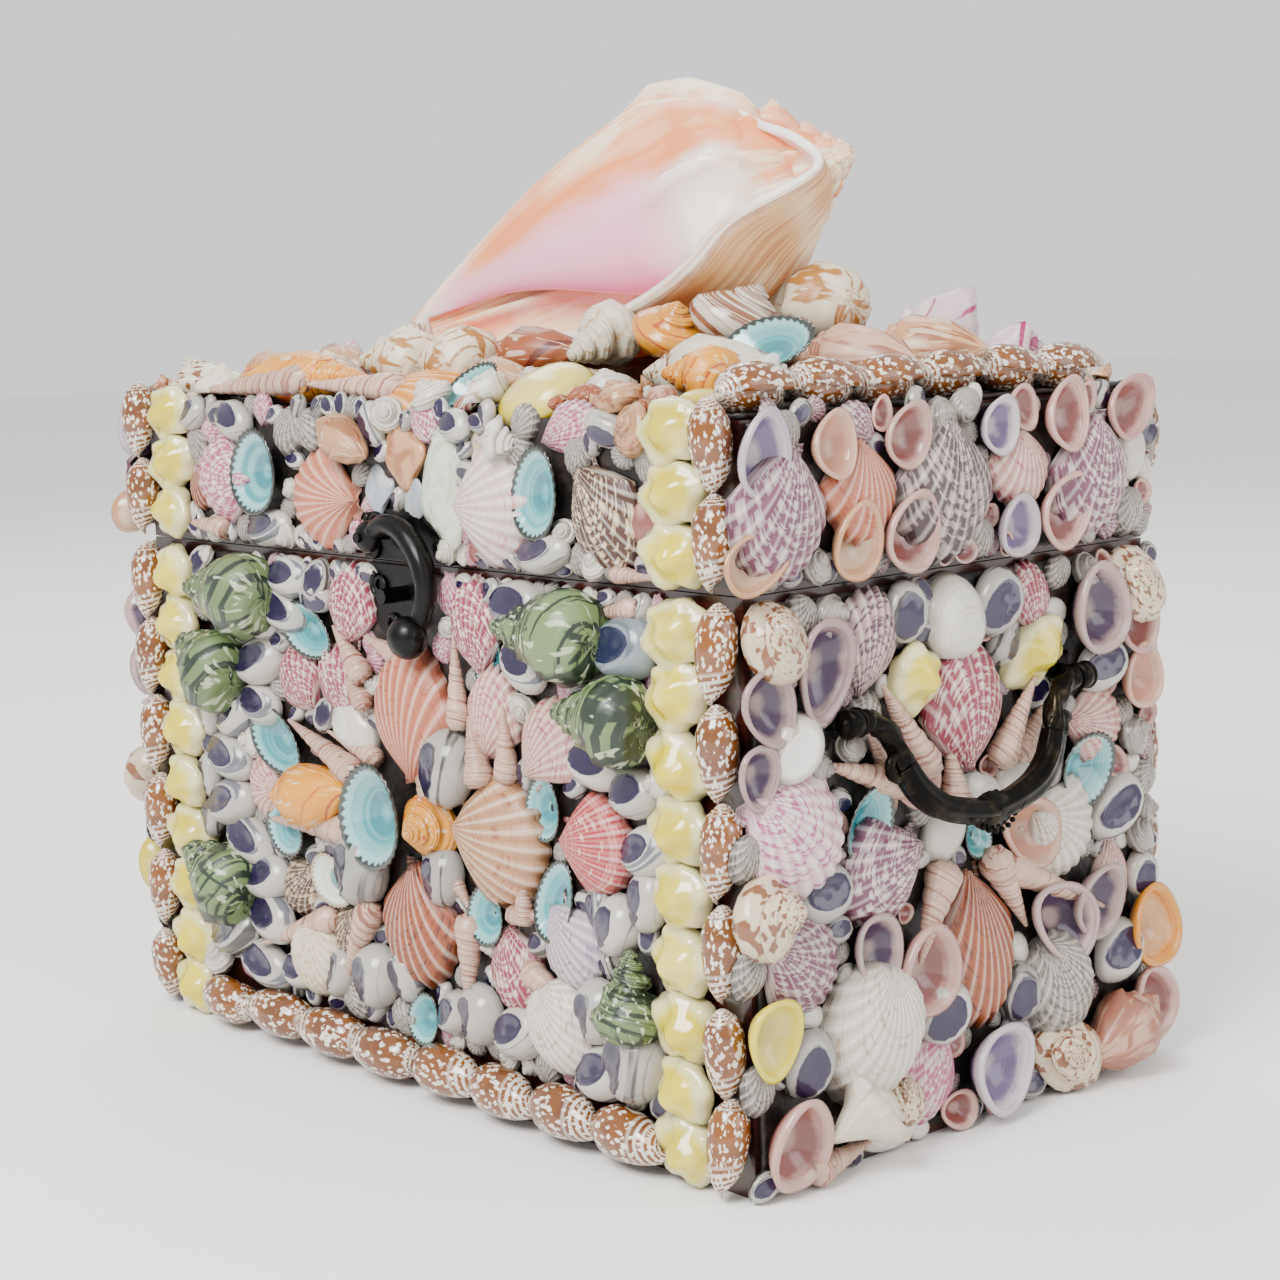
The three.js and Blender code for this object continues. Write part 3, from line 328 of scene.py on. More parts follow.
def dark_metal(name, deep, worn, roughness, metallic):
    material, tree, shader = new_material(name, roughness, metallic)
    place = add_node(tree, "ShaderNodeTexCoord").outputs["Object"]
    cast = pattern(tree, place, 140.0, 3.0)
    colour = blend_colours(tree, step(tree, cast, 0.45, 0.75), linear(deep), linear(worn))
    tree.links.new(colour, shader.inputs["Base Color"])
    tree.links.new(step(tree, cast, 0.3, 0.7, roughness + 0.12, roughness - 0.1), shader.inputs["Roughness"])
    relief(tree, shader, cast, 0.25, 0.0005)
    return material


finishes = {
    "ribbed": ribbed_shell(),
    "clam": ringed_clam(),
    "limpet": pearly_limpet(),
    "snail": coiled_shell("smooth snail shell", 0.24, 0.35, 3),
    "rough": coiled_shell("ridged snail shell", 0.42, 0.12, 5, 0.8),
    "drill": coiled_shell("grooved drill shell", 0.4, 0.15, 2),
    "cowrie": money_cowrie(),
    "olive": tent_olive(),
    "chip": worn_chip(),
    "glue": dark_glue(),
    "wood": varnished_wood(),
    "iron": dark_metal("black lacquered iron", "#050505", "#141312", 0.3, 0.6),
    "bronze": dark_metal("browned brass", "#0c0a08", "#2c2518", 0.34, 0.9),
}
print(len(finishes), "finishes")

# %% [markdown]
# ## From a form to rows of shells
# Each kind of shell is made once, at unit size: one long, one wide and one high, lying on its base
# with its hinge or spire towards +X. Two numbers on every point say where it is on the shell: how
# far round and how far along the growth. They become the UV map that the patterns follow.

# %%
def measured(bm):
    return bm.verts.layers.float["around"], bm.verts.layers.float["along"]


def smooth(value, low, high):
    t = min(max((value - low) / (high - low), 0), 1)
    return t * t * (3 - 2 * t)


def start_form():
    bm = bmesh.new()
    bm.verts.layers.float.new("around")
    bm.verts.layers.float.new("along")
    return bm


def unit_size(bm):
    spans = [(min(v.co[i] for v in bm.verts), max(v.co[i] for v in bm.verts)) for i in range(3)]
    middle = [-(spans[0][0] + spans[0][1]) / 2, -(spans[1][0] + spans[1][1]) / 2, -spans[2][0]]
    bmesh.ops.translate(bm, verts=bm.verts, vec=middle)
    bmesh.ops.scale(bm, verts=bm.verts, vec=[1 / (high - low) for low, high in spans])


def finish_form(bm, name, turns_across=1, unit=True, spiral=False):
    bmesh.ops.remove_doubles(bm, verts=bm.verts, dist=1e-5)
    bmesh.ops.recalc_face_normals(bm, faces=bm.faces)
    around, along = measured(bm)
    form = bm.loops.layers.uv.new("form")
    for face in bm.faces:
        face.smooth = True
        most = max(v[around] for v in face.verts)
        for loop in face.loops:
            u = loop.vert[around]
            over = 1 if most - u > 0.5 else 0
            loop[form].uv = ((u + over) * turns_across, loop.vert[along] - (over if spiral else 0))
    if unit:
        unit_size(bm)
    mesh = bpy.data.meshes.new(name)
    bm.to_mesh(mesh)
    bm.free()
    return mesh


def sheet(columns, rows):
    bm = start_form()
    bmesh.ops.create_grid(bm, x_segments=columns, y_segments=rows, size=0.5)
    around, along = measured(bm)
    for v in bm.verts:
        v[around] = v.co.x + 0.5
        v[along] = v.co.y + 0.5
    return bm


def bend(bm, place):
    around, along = measured(bm)
    for v in bm.verts:
        v.co = place(v[around], v[along])


# %% [markdown]
# ## Fans: scallops and cockles
# A flat grid is bent into a fan about its hinge: columns become ribs and rows become growth lines.
# The rim is toothed where the ribs end, and a scallop has two small ears beside the hinge.

# %%
def fan(name, ribs, columns, rows, ears, depth=1.0, squareness=0.5, tooth=0.02):
    widest = math.radians(96 if ears else 88)
    fold = math.radians(60)

    def place(across, along):
        angle = (2 * across - 1) * widest
        body = max(math.cos(min(abs(angle) / fold * 0.25 * math.pi, math.pi / 2)), 0) ** squareness if ears else (
            max(math.cos(angle), 0) ** squareness)
        reach = body
        if ears:
            inner = math.radians(66)
            reach = body if abs(angle) < inner else 0.0
            notch = min(max((abs(angle) - inner + 0.12) / 0.12, 0), 1)
            reach = body * (1 - notch) + 0.27 * notch
        wave = math.cos(2 * math.pi * ribs * across)
        reach *= 1 + tooth * wave * along
        r = along * reach
        crown = (4 * along * (1 - along) + 0.35 * (1 - along)) ** 0.62 if along < 1 else 0
        shape = max(1 - abs(angle / (fold * 1.15 if ears else widest)) ** 2.4, 0) ** 0.6
        z = 0.5 * crown * shape * depth + 0.02 * along * wave * (1 - 0.4 * along)
        if ears and shape == 0:
            z = 0.05 * math.sin(9 * along)
        return (-r * math.cos(angle), r * math.sin(angle), z)

    bm = sheet(columns, rows)
    bend(bm, place)
    rim = [e for e in bm.edges if e.is_boundary]
    made = bmesh.ops.extrude_edge_only(bm, edges=rim)["geom"]
    lowered = [v for v in made if isinstance(v, bmesh.types.BMVert)]
    bmesh.ops.translate(bm, verts=lowered, vec=(0, 0, -0.05))
    bmesh.ops.scale(bm, verts=lowered, vec=(0.94, 0.94, 1), space=Matrix.Translation((0.45, 0, 0)))
    return finish_form(bm, name, ribs)


# %% [markdown]
# ## Bowls: limpets and open clams
# A bowl starts as the same grid, closed into a disc. Solidify gives it a wall, thin in a limpet and
# thick at the rim of a clam.

# %%
def bowl(name, ribs, columns, rows, wall, outline, hollow, tooth=0.0, lip=0.0):
    def place(across, along):
        angle = 2 * math.pi * across
        wave = math.cos(ribs * angle)
        x, y = outline(angle)
        grow = 1 + tooth * wave * along ** 3
        z = along ** hollow + lip * max(along - 0.9, 0) * 10 + 0.012 * wave * along
        return (x * along * grow, y * along * grow, 0.4 * z)

    bm = sheet(columns, rows)
    bend(bm, place)
    bmesh.ops.remove_doubles(bm, verts=bm.verts, dist=1e-5)
    bmesh.ops.recalc_face_normals(bm, faces=bm.faces)
    if sum(f.normal.z for f in bm.faces) > 0:
        bmesh.ops.reverse_faces(bm, faces=bm.faces)
    bmesh.ops.solidify(bm, geom=list(bm.faces), thickness=wall)
    return finish_form(bm, name, ribs)


def oval_outline(angle):
    return (0.5 * math.cos(angle), 0.5 * math.sin(angle) * (1 - 0.12 * math.cos(angle)))


def clam_outline(angle):
    reach = 0.5 * (1 + 0.09 * math.cos(angle) ** 5 + 0.02 * math.cos(2 * angle))
    return (reach * math.cos(angle), reach * math.sin(angle) * (1 - 0.10 * math.cos(angle)))


# %% [markdown]
# ## Coils: every snail
# A snail grows by adding to the edge of its mouth, always in the same proportion. So the form starts
# as the ring of the mouth and steps back to the tip: extrude the ring, then turn and shrink it about
# the tip by the same amount each time.

# %%
def ring_edges(bm, points):
    verts = [bm.verts.new(point) for point in points]
    return [bm.edges.new((verts[i - 1], verts[i])) for i in range(len(verts))], verts


def grow(section, growth, whorls, steps, knobs=None, throat=True):
    bm = start_form()
    around, along = measured(bm)
    edges, verts = ring_edges(bm, [(x, -r, 0) for x, r in section])
    for i, v in enumerate(verts):
        v[around] = i / len(verts)
    mouth = list(edges)
    turn = 2 * math.pi / steps
    shrink = growth ** (-1 / steps)
    for count in range(1, int(whorls * steps) + 1):
        made = bmesh.ops.extrude_edge_only(bm, edges=edges)["geom"]
        verts = [g for g in made if isinstance(g, bmesh.types.BMVert)]
        edges = [g for g in made if isinstance(g, bmesh.types.BMEdge) and all(v in verts for v in g.verts)]
        bmesh.ops.rotate(bm, verts=verts, cent=(0, 0, 0), matrix=Matrix.Rotation(turn, 3, "X"))
        bmesh.ops.scale(bm, verts=verts, vec=(shrink, shrink, shrink))
        for v in verts:
            v[along] = count / steps
    bmesh.ops.contextual_create(bm, geom=edges)
    if knobs:
        number, height, where, width = knobs
        for v in bm.verts:
            beat = max(math.cos(2 * math.pi * number * v[along]), 0) ** 2
            near = max(1 - ((v[around] - where) / width) ** 2, 0)
            swell = 1 + height * beat * near
            v.co.y *= swell
            v.co.z *= swell
            v.co.x *= 1 - 0.3 * height * beat * near
    if throat:
        middle = sum((v.co for e in mouth for v in e.verts), Vector()) / (2 * len(mouth))
        for shrinking, depth in ((0.86, 0.0), (0.8, 0.5)):
            made = bmesh.ops.extrude_edge_only(bm, edges=mouth)["geom"]
            verts = [g for g in made if isinstance(g, bmesh.types.BMVert)]
            mouth = [g for g in made if isinstance(g, bmesh.types.BMEdge) and all(v in verts for v in g.verts)]
            bmesh.ops.scale(bm, verts=verts, vec=(shrinking,) * 3, space=Matrix.Translation(-middle))
            bmesh.ops.rotate(bm, verts=verts, cent=(0, 0, 0), matrix=Matrix.Rotation(depth, 3, "X"))
            for v in verts:
                v[along] = -0.2
    bmesh.ops.contextual_create(bm, geom=mouth)
    return bm


def coil(name, section, growth, whorls, steps, knobs=None, face_down=False, throat=True):
    bm = grow(section, growth, whorls, steps, knobs, throat)
    if face_down:
        bmesh.ops.rotate(bm, verts=bm.verts, cent=(0, 0, 0), matrix=Matrix.Rotation(math.pi, 3, "X"))
    return finish_form(bm, name)


def round_section(x, r, long, wide, points, lean=0.0):
    ring = []
    for i in range(points):
        angle = 2 * math.pi * i / points
        dx = long * math.cos(angle)
        dr = wide * math.sin(angle)
        ring.append((x + dx * math.cos(lean) - dr * math.sin(lean), max(r + dx * math.sin(lean) + dr * math.cos(lean), 0.004)))
    return ring


# %% [markdown]
# ## Spires: turbans, moons and drills
# Where the spire shows, the seam between the turns matters more than the mouth. Here a grid is wound
# into a cone. Its rows follow the seam, so a row that has gone once round ends where the row of the
# next turn starts, and the two merge. Between seams each turn swells, and the last one rounds off.

# %%
def spired(name, whorls, growth, girth, base, swell, taper, rows, columns, knobs=0, upright=0.0):
    def bulge(turn, across):
        whole = math.floor(turn + 1e-6)
        part = max(turn - whole, 0)
        fade = smooth(across, 0, 0.2)
        closed = math.sin(math.pi * part)
        full = math.sin(math.pi * min(part, 0.5))
        if whole < whorls - 1:
            return max(closed, 0)
        if whole == whorls - 1:
            return max(closed + fade * (full - closed), 0)
        return full + fade * (1 - full) if whole == whorls else 1

    def turn_at(along):
        return along * (whorls + 2) - 1

    def place(across, along):
        turn = turn_at(along)
        count = max(turn + across, 0)
        over = min(max((count - whorls - 0.4) / 0.6, 0), 1)
        scale = growth ** (min(count, whorls + 0.4) - whorls)
        reach = scale * (1 + base * math.sin(over * math.pi / 2))
        lobe = bulge(turn, across)
        radius = girth * scale * max(math.cos(over * math.pi / 2), 0) ** taper * smooth(count, 0, 0.6)
        radius *= 1 + swell * (lobe ** 0.6 - 0.5)
        if knobs:
            beat = max(math.cos(2 * math.pi * knobs * across), 0)
            radius *= 1 + 0.13 * beat * max(1 - abs(turn - math.floor(turn) - 0.35) / 0.25, 0)
        angle = 2 * math.pi * across
        return (-reach, radius * math.cos(angle), radius * math.sin(angle))

    bm = sheet(columns, rows * (whorls + 2))
    bend(bm, place)
    around, along = measured(bm)
    for v in bm.verts:
        turn = turn_at(v[along])
        whole = math.floor(turn + 1e-6)
        v[along] = whole + v[around] + 2
        v[around] = max(turn - whole, 0)
    bmesh.ops.remove_doubles(bm, verts=bm.verts, dist=1e-5)
    bmesh.ops.rotate(bm, verts=bm.verts, cent=(0, 0, 0), matrix=Matrix.Rotation(math.radians(-upright), 3, "Y"))
    open_edges = sum(e.is_boundary for e in bm.edges)
    print(f"{name}: {open_edges} open edges")
    return finish_form(bm, name, spiral=True)


# %% [markdown]
# ## Cowries, olives and chips
# A cowrie hides its coil under a smooth back. The money cowrie is broad and knobbly: a sphere is
# flattened below and five humps are raised round its shoulder. An olive is one long coil whose last
# whorl hides the rest but for a short spire.

# %%
def cowrie_form():
    bm = start_form()
    around, along = measured(bm)
    bmesh.ops.create_uvsphere(bm, u_segments=32, v_segments=18, radius=0.5)
    for v in bm.verts:
        x, y, z = v.co
        out = min(math.hypot(x, y) / 0.5, 1)
        turn = math.atan2(y, x)
        knob = math.cos(3 * turn) ** 2
        reach = 0.5 * out * (1 + out ** 2 * (0.12 * math.cos(2 * turn) + 0.09 * knob - 0.12 * math.cos(turn)))
        shoulder = 0.36 * math.sqrt(1 - out ** 2) ** 0.7 + 0.08 * knob * math.exp(-((out - 0.8) / 0.16) ** 2)
        dome = 0.3 * math.exp(-(out / 0.52) ** 3)
        v[along] = 1 - out if z > 0 else 0
        v[around] = 0.5
        dent = 1 + 0.14 * noise.noise(Vector((x, y, z)) * 4)
        height = shoulder + dome if z > 0 else -0.16 * math.sqrt(1 - out ** 2)
        v.co = (reach * math.cos(turn) * dent, reach * math.sin(turn) * dent, height * dent)
    return finish_form(bm, "cowrie")


def nerite_form(name, columns, rows):
    bm = start_form()
    around, along = measured(bm)
    bmesh.ops.create_uvsphere(bm, u_segments=columns, v_segments=rows, radius=0.5)
    for v in bm.verts:
        x, y, z = v.co
        y *= 1 + 0.12 * x
        twist = 0.03 * math.sin(5 * math.atan2(y, x - 0.3)) * math.exp(-((x - 0.34) ** 2 + y ** 2) / 0.02)
        mouth = math.hypot((x + 0.06) / 0.37, (y - 0.13) / 0.27) - 1
        dish = 0.13 * smooth(-mouth, 0.0, 0.45) if z > 0 else 0
        v[along] = mouth * 0.14 if z > 0 else 0.14
        v[around] = 0.5 + 0.4 * y
        v.co = (x, y, (z if z > 0 else 0.3 * z) - dish + twist)
    return finish_form(bm, name)


def chip_form(variant):
    bm = start_form()
    around, along = measured(bm)
    bmesh.ops.create_icosphere(bm, subdivisions=3, radius=0.5)
    for v in bm.verts:
        ripple = 1 + 0.35 * noise.noise(v.co * 2.2 + Vector((variant * 5.0, 0, 0)))
        v.co = Vector((v.co.x * ripple, v.co.y * ripple * (1 + 0.3 * v.co.x), v.co.z))
        v.co.z = math.copysign(abs(v.co.z) ** 0.6, v.co.z)
    return finish_form(bm, "chip")


tall_mouth = round_section(-1.0, 0.34, 0.36, 0.24, 12, 0.25)
forms = {
    "scallop": (fan("scallop", 17, 52, 11, True), "ribbed"),
    "small scallop": (fan("small scallop", 13, 27, 7, True), "ribbed"),
    "cockle": (fan("cockle", 19, 39, 9, False, 1.25, 0.7), "ribbed"),
    "clam": (fan("clam", 1, 22, 14, False, 1.2, 0.6, 0.0), "clam"),
    "limpet": (bowl("limpet", 30, 61, 9, 0.035, oval_outline, 1.5, 0.035), "limpet"),
    "open clam": (bowl("open clam", 1, 30, 9, 0.07, clam_outline, 2.4, 0.0, 0.05), "clam"),
    "cowrie": (cowrie_form(), "cowrie"),
    "olive": (coil("olive", [(-0.09, 0.03), (-0.115, 0.09), (-0.16, 0.155), (-0.3, 0.21), (-0.5, 0.222), (-0.7, 0.2),
                             (-0.86, 0.155), (-0.97, 0.09), (-1.0, 0.04), (-0.9, 0.03), (-0.5, 0.05), (-0.2, 0.03)],
                   1.32, 3.5, 18, face_down=True, throat=False), "olive"),
    "nerite": (nerite_form("nerite", 20, 12), "snail"),
    "small nerite": (nerite_form("small nerite", 14, 8), "snail"),
    "small moon": (spired("small moon", 3, 1.9, 1.0, 0.9, 0.32, 0.6, 3, 12, upright=62), "snail"),
    "small cockle": (fan("small cockle", 13, 27, 6, False, 1.25, 0.7), "ribbed"),
    "small whelk": (spired("small whelk", 4, 1.5, 0.46, 1.25, 0.3, 1.5, 4, 12), "rough"),
    "small murex": (coil("small murex", [(-0.62, 0.30), (-0.9, 0.5), (-1.3, 0.28), (-1.85, 0.06), (-1.1, 0.08), (-0.68, 0.18)],
                         1.6, 3.0, 12, (3, 0.5, 0.12, 0.32), True), "rough"),
    "small clam": (fan("small clam", 1, 14, 9, False, 1.2, 0.6, 0.0), "clam"),
    "small open clam": (bowl("small open clam", 1, 21, 7, 0.08, clam_outline, 2.4, 0.0, 0.05), "clam"),
    "moon": (spired("moon", 4, 1.9, 1.0, 0.9, 0.32, 0.6, 5, 20, upright=62), "snail"),
    "turban": (spired("turban", 4, 1.58, 0.6, 0.4, 0.5, 0.5, 8, 26, 9), "rough"),
    "top": (spired("top", 5, 1.5, 0.85, 0.3, 0.3, 0.5, 6, 22, upright=80), "rough"),
    "whelk": (spired("whelk", 6, 1.5, 0.46, 1.25, 0.3, 1.5, 5, 18, 9), "rough"),
    "murex": (coil("murex", [(-0.62, 0.30), (-0.72, 0.46), (-0.9, 0.5), (-1.1, 0.44), (-1.3, 0.28), (-1.7, 0.12), (-1.85, 0.06),
                             (-1.6, 0.03), (-1.1, 0.08), (-0.8, 0.12), (-0.68, 0.18)], 1.6, 4.0, 21, (3, 0.5, 0.12, 0.32), True), "rough"),
    "tower": (spired("tower", 10, 1.24, 0.17, 0.14, 0.1, 0.6, 3, 10), "drill"),
    "chip": (chip_form(1), "chip"),
}
for name, (mesh, finish) in forms.items():
    print(f"{name}: {len(mesh.polygons)} faces, {finish}")

# %% [markdown]
# ## Colours
# Every kind comes in a few dresses: ground, marking and inside colours, and how strong the
# blotches, the bands and the streaks are.

# %%
dresses = {
    "green": ("#758a5c", "#1c2b1b", "#cfd6b8", 0.3, 0.66, 0.66),
    "mottled red": ("#e9cfc6", "#8e3546", "#f3d9d2", 0.28, 0.35, 0.2),
    "mottled pink": ("#ead2d0", "#b0587a", "#f3d9d2", 0.26, 0.35, 0.2),
    "mottled brown": ("#dfc9a8", "#4a2a1c", "#f0e2cc", 0.30, 0.35, 0.2),
    "pink": ("#dcb6a8", "#a85764", "#8a4f4b", 0.14, 0.5, 0.95),
    "pink white": ("#ecd6d6", "#b25f86", "#f8e4e4", 0.18, 0.45, 0.1),
    "white pink": ("#efe2dc", "#d39a98", "#f8e4e4", 0.12, 0.4, 0.1),
    "purple": ("#bfa6a0", "#5a3148", "#412c48", 0.22, 0.4, 1.0),
    "purple white": ("#d3bfbf", "#75445a", "#8a6a90", 0.27, 0.4, 0.2),
    "grey purple": ("#b0a09d", "#49373b", "#8a6a90", 0.27, 0.4, 0.2),
    "lilac": ("#d2c8cb", "#86688c", "#6e5c86", 0.12, 0.4, 0.95),
    "salmon": ("#dc9276", "#ad5440", "#f0c6b2", 0.10, 0.4, 0.3),
    "rose": ("#c47a60", "#95402f", "#f0c6b2", 0.10, 0.45, 0.3),
    "red": ("#a82c36", "#dfa998", "#f0c6b2", 0.12, 0.45, 0.3),
    "tan": ("#d3a47e", "#a0694a", "#ead3bb", 0.14, 0.45, 0.6),
    "brown": ("#a55c3c", "#662c1c", "#ead3bb", 0.14, 0.45, 0.5),
    "orange": ("#e8a04a", "#b8561d", "#f6e0c0", 0.10, 0.5, 0.4),
    "peach": ("#dcb39c", "#a7705c", "#c98f78", 0.14, 0.45, 0.8),
    "cream": ("#ece2cb", "#c9ad86", "#efe6d6", 0.16, 0.4, 0.5),
    "white": ("#e4dfd3", "#b5a48e", "#f4f1ea", 0.12, 0.5, 0.3),
    "grey": ("#aaa49b", "#655f58", "#2b2838", 0.2, 0.35, 0.0),
    "pebble": ("#b4b0a9", "#4a4642", "#231838", 0.6, 0.0, 0.0),
    "dark": ("#cbc6bd", "#6f7178", "#1f1038", 0.55, 0.0, 0.0),
    "blue": ("#4da2a8", "#20261f", "#83bcba", 0.0, 0.4, 0.4),
    "yellow": ("#efd934", "#f5ea8e", "#f4efc6", 0.1, 0.3, 0.3),
    "spotted": ("#e6d3b8", "#8a5c42", "#efe0cc", 0.62, 0.0, 0.0),
    "speckled": ("#efe6d0", "#8a5a3c", "#efe0cc", 0.6, 0.0, 0.0),
    "ringed": ("#efe3d0", "#8c5a44", "#efe0cc", 0.1, 0.75, 0.1),
    "net": ("#f0e2c8", "#b07a45", "#efe0cc", 0.2, 0.5, 0.62),
    "lace": ("#eaddc9", "#8d6347", "#efe0cc", 0.3, 0.55, 0.35),
    "magenta": ("#e6cfd2", "#a83468", "#f3dfe2", 0.2, 0.5, 0.6),
    "grey blue": ("#a9b3bd", "#d8d6cf", "#a9b3bd", 0.1, 0.4, 0.4),
    "slate": ("#97a2a8", "#5c6870", "#1f2340", 0.5, 0.0, 0.0),
    "tooth": ("#dfe3d0", "#bccab0", "#efefe0", 0.1, 0.3, 0.3),
    "drill": ("#dbb9a6", "#9a6a5a", "#efddd0", 0.2, 0.62, 0.2),
    "olive": ("#85501f", "#f5ecdc", "#f3ebdf", 0.3, 0.3, 0.3),
}


def lively(colour):
    """Lacquered shells look deeper and more strongly coloured than dry ones."""
    grey = 0.3 * colour[0] + 0.6 * colour[1] + 0.1 * colour[2]
    return [max(0.72 * (grey + 1.15 * (c - grey)), 0.004) for c in colour[:3]] + [1]


def dressed(name):
    ground, marking, inside, blotches, bands, streaks = dresses[name]
    return lively(linear(ground)), lively(linear(marking)), lively(linear(inside)), (blotches, bands, streaks)

# %% [markdown]
# ## Setting shells on a face
# The glue side of the box is worked face by face. A row gives the kind, the place of the shell's
# middle across and up the face, the heading of its hinge or spire, its length and width and its dress.

# %%
GAP = 0.3
WIDTH = 346
DEPTH = 212
SEAM = 200
HEIGHT = 256


def face_plane(rightward, upward, corner):
    right = Vector(rightward)
    up = Vector(upward)
    out = right.cross(up)
    turn = Matrix((right, up, out)).transposed().to_4x4()
    return Matrix.Scale(MM, 4) @ Matrix.Translation(Vector(corner) + GAP * out) @ turn


planes = {
    "front": face_plane((1, 0, 0), (0, 0, 1), (0, -DEPTH / 2, 0)),
    "back": face_plane((-1, 0, 0), (0, 0, 1), (0, DEPTH / 2, 0)),
    "right": face_plane((0, 1, 0), (0, 0, 1), (WIDTH / 2, 0, 0)),
    "left": face_plane((0, -1, 0), (0, 0, 1), (-WIDTH / 2, 0, 0)),
    "top": face_plane((1, 0, 0), (0, 1, 0), (0, 0, HEIGHT)),
}
FIT = 1.15   # the small shells overlap their neighbours by a tenth
rises = {"scallop": 0.26, "cockle": 0.38, "clam": 0.36, "open clam": 0.42, "limpet": 0.3, "cowrie": 0.6, "nerite": 0.6,
         "moon": 0.75, "turban": 0.9, "top": 0.75, "whelk": 0.9, "murex": 0.85, "olive": 0.95, "tower": 0.95, "chip": 0.16}
sunk = {"moon": 0.1, "turban": 0.12, "whelk": 0.08, "murex": 0.1, "tower": 0.0, "olive": 0.05}
tokens = ("ground", "marking", "inside", "habit")
front_choices = [("nerite", "dark", 0.75), ("nerite", "dark", 0.7), ("nerite", "pebble", 0.8), ("cockle", "grey", 0.9), ("moon", "white", 0.9),
                 ("scallop", "mottled pink", 0.9)]
top_choices = [("moon", "spotted", 0.9), ("murex", "tan", 0.75), ("scallop", "salmon", 0.95), ("cockle", "cream", 0.9), ("whelk", "peach", 0.6),
               ("moon", "white", 0.9), ("whelk", "brown", 0.6)]
end_choices = [("open clam", "pink", 0.8), ("nerite", "pebble", 0.8), ("moon", "grey", 0.9), ("cockle", "grey", 0.9), ("clam", "white", 0.75),
               ("scallop", "purple white", 0.9)]


def painted_shade_floor(kind):
    """How dark the painted shade leaves the foot of a shell and the bottom of an open clam's bowl; a limpet's bowl
    gets none.
    """
    return {"limpet": 1.0, "open clam": 0.55}.get(kind, 0.4)


reach_low = {"case": (-199.2, -133.6, 0.5), "lid": (-199.2, -133.6, SEAM + 1)}
reach_high = {"case": (199.2, 118.9, SEAM - 1), "lid": (199.2, 118.9, 378.5)}


def keep_within(bm, verts, body):
    """Move a shell the little that keeps it on its own half of the box, and no deeper than the rest."""
    shift = []
    for axis in range(3):
        lowest = min(v.co[axis] for v in verts)
        highest = max(v.co[axis] for v in verts)
        shift.append(max(reach_low[body][axis] * MM - lowest, 0) + min(reach_high[body][axis] * MM - highest, 0))
    bmesh.ops.translate(bm, verts=verts, vec=shift)


def add_shell(bm, row, plane, body, tilt=7.0):
    kind, across, up, heading, length, width = row[:6]
    lift, lean = (row[6:8] if len(row) > 8 else (0, 0))
    form = f"small {kind}" if length < 24 and f"small {kind}" in forms else kind
    count = len(bm.verts)
    bm.from_mesh(forms[form][0])
    bm.verts.ensure_lookup_table()
    fresh = bm.verts[count:]
    height = rises[kind] * width
    # Painted shade: each shell's colours darken towards its foot, and towards the bottom of an open clam's bowl.
    painted_shades = [painted_shade_floor(kind) + (1 - painted_shade_floor(kind)) * smooth(v.co.z, 0.02, 0.4) for v in fresh]
    turn = Matrix.Rotation(math.radians(heading), 4, "Z")
    nod = Matrix.Rotation(math.radians(chance.uniform(-tilt, tilt)), 4, "Y")
    tip = Matrix.Rotation(math.radians(lean + chance.uniform(-tilt, tilt) * 0.6), 4, "X")
    place = Matrix.Translation((across, up, lift + 1.2 - sunk.get(kind, 0) * width))
    size = Matrix.Diagonal((length, width, height, 1))
    bmesh.ops.transform(bm, verts=fresh, matrix=plane @ place @ tip @ turn @ nod @ size)
    keep_within(bm, fresh, body)
    ground, marking, inside, habit = dressed(row[-1])
    fade = chance.uniform(0.8, 1.05)
    ground = [min(c * fade, 1) for c in ground[:3]] + [1]
    layers = [bm.verts.layers.float_color[name] for name in tokens]
    nature = (*habit, chance.random())
    for v, shade in zip(fresh, painted_shades):
        for layer, value in zip(layers, (ground, marking, inside)):
            v[layer] = [c * shade for c in value[:3]] + [1]
        v[layers[3]] = nature


def shell_piece(name, rows, face, body, nodes, tilt=7.0):
    """One object from many shells, set on a face, riding on its half of the box."""
    bm = bmesh.new()
    for token in tokens:
        bm.verts.layers.float_color.new(token)
    for row in rows:
        add_shell(bm, row, planes[face], body, tilt)
    mesh = bpy.data.meshes.new(name)
    bm.to_mesh(mesh)
    bm.free()
    for edge_layer in ("around", "along"):
        if edge_layer in mesh.attributes:
            mesh.attributes.remove(mesh.attributes[edge_layer])
    mesh.materials.append(finishes[forms[rows[0][0]][1]])
    piece = bpy.data.objects.new(name, mesh)
    bpy.context.collection.objects.link(piece)
    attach(piece, body)
    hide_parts(*nodes)
    return piece


def room_at(x, y, rows):
    room = 99.0
    for row in rows:
        kind, across, up, heading, length, width = row[:6]
        angle = math.radians(heading)
        dx, dy = x - across, y - up
        along = dx * math.cos(angle) + dy * math.sin(angle)
        aside = dy * math.cos(angle) - dx * math.sin(angle)
        ratio = math.hypot(2 * along / length, 2 * aside / width)
        room = min(room, (1 - 1 / max(ratio, 0.01)) * math.hypot(dx, dy) if ratio > 0.05 else -9)
    return room


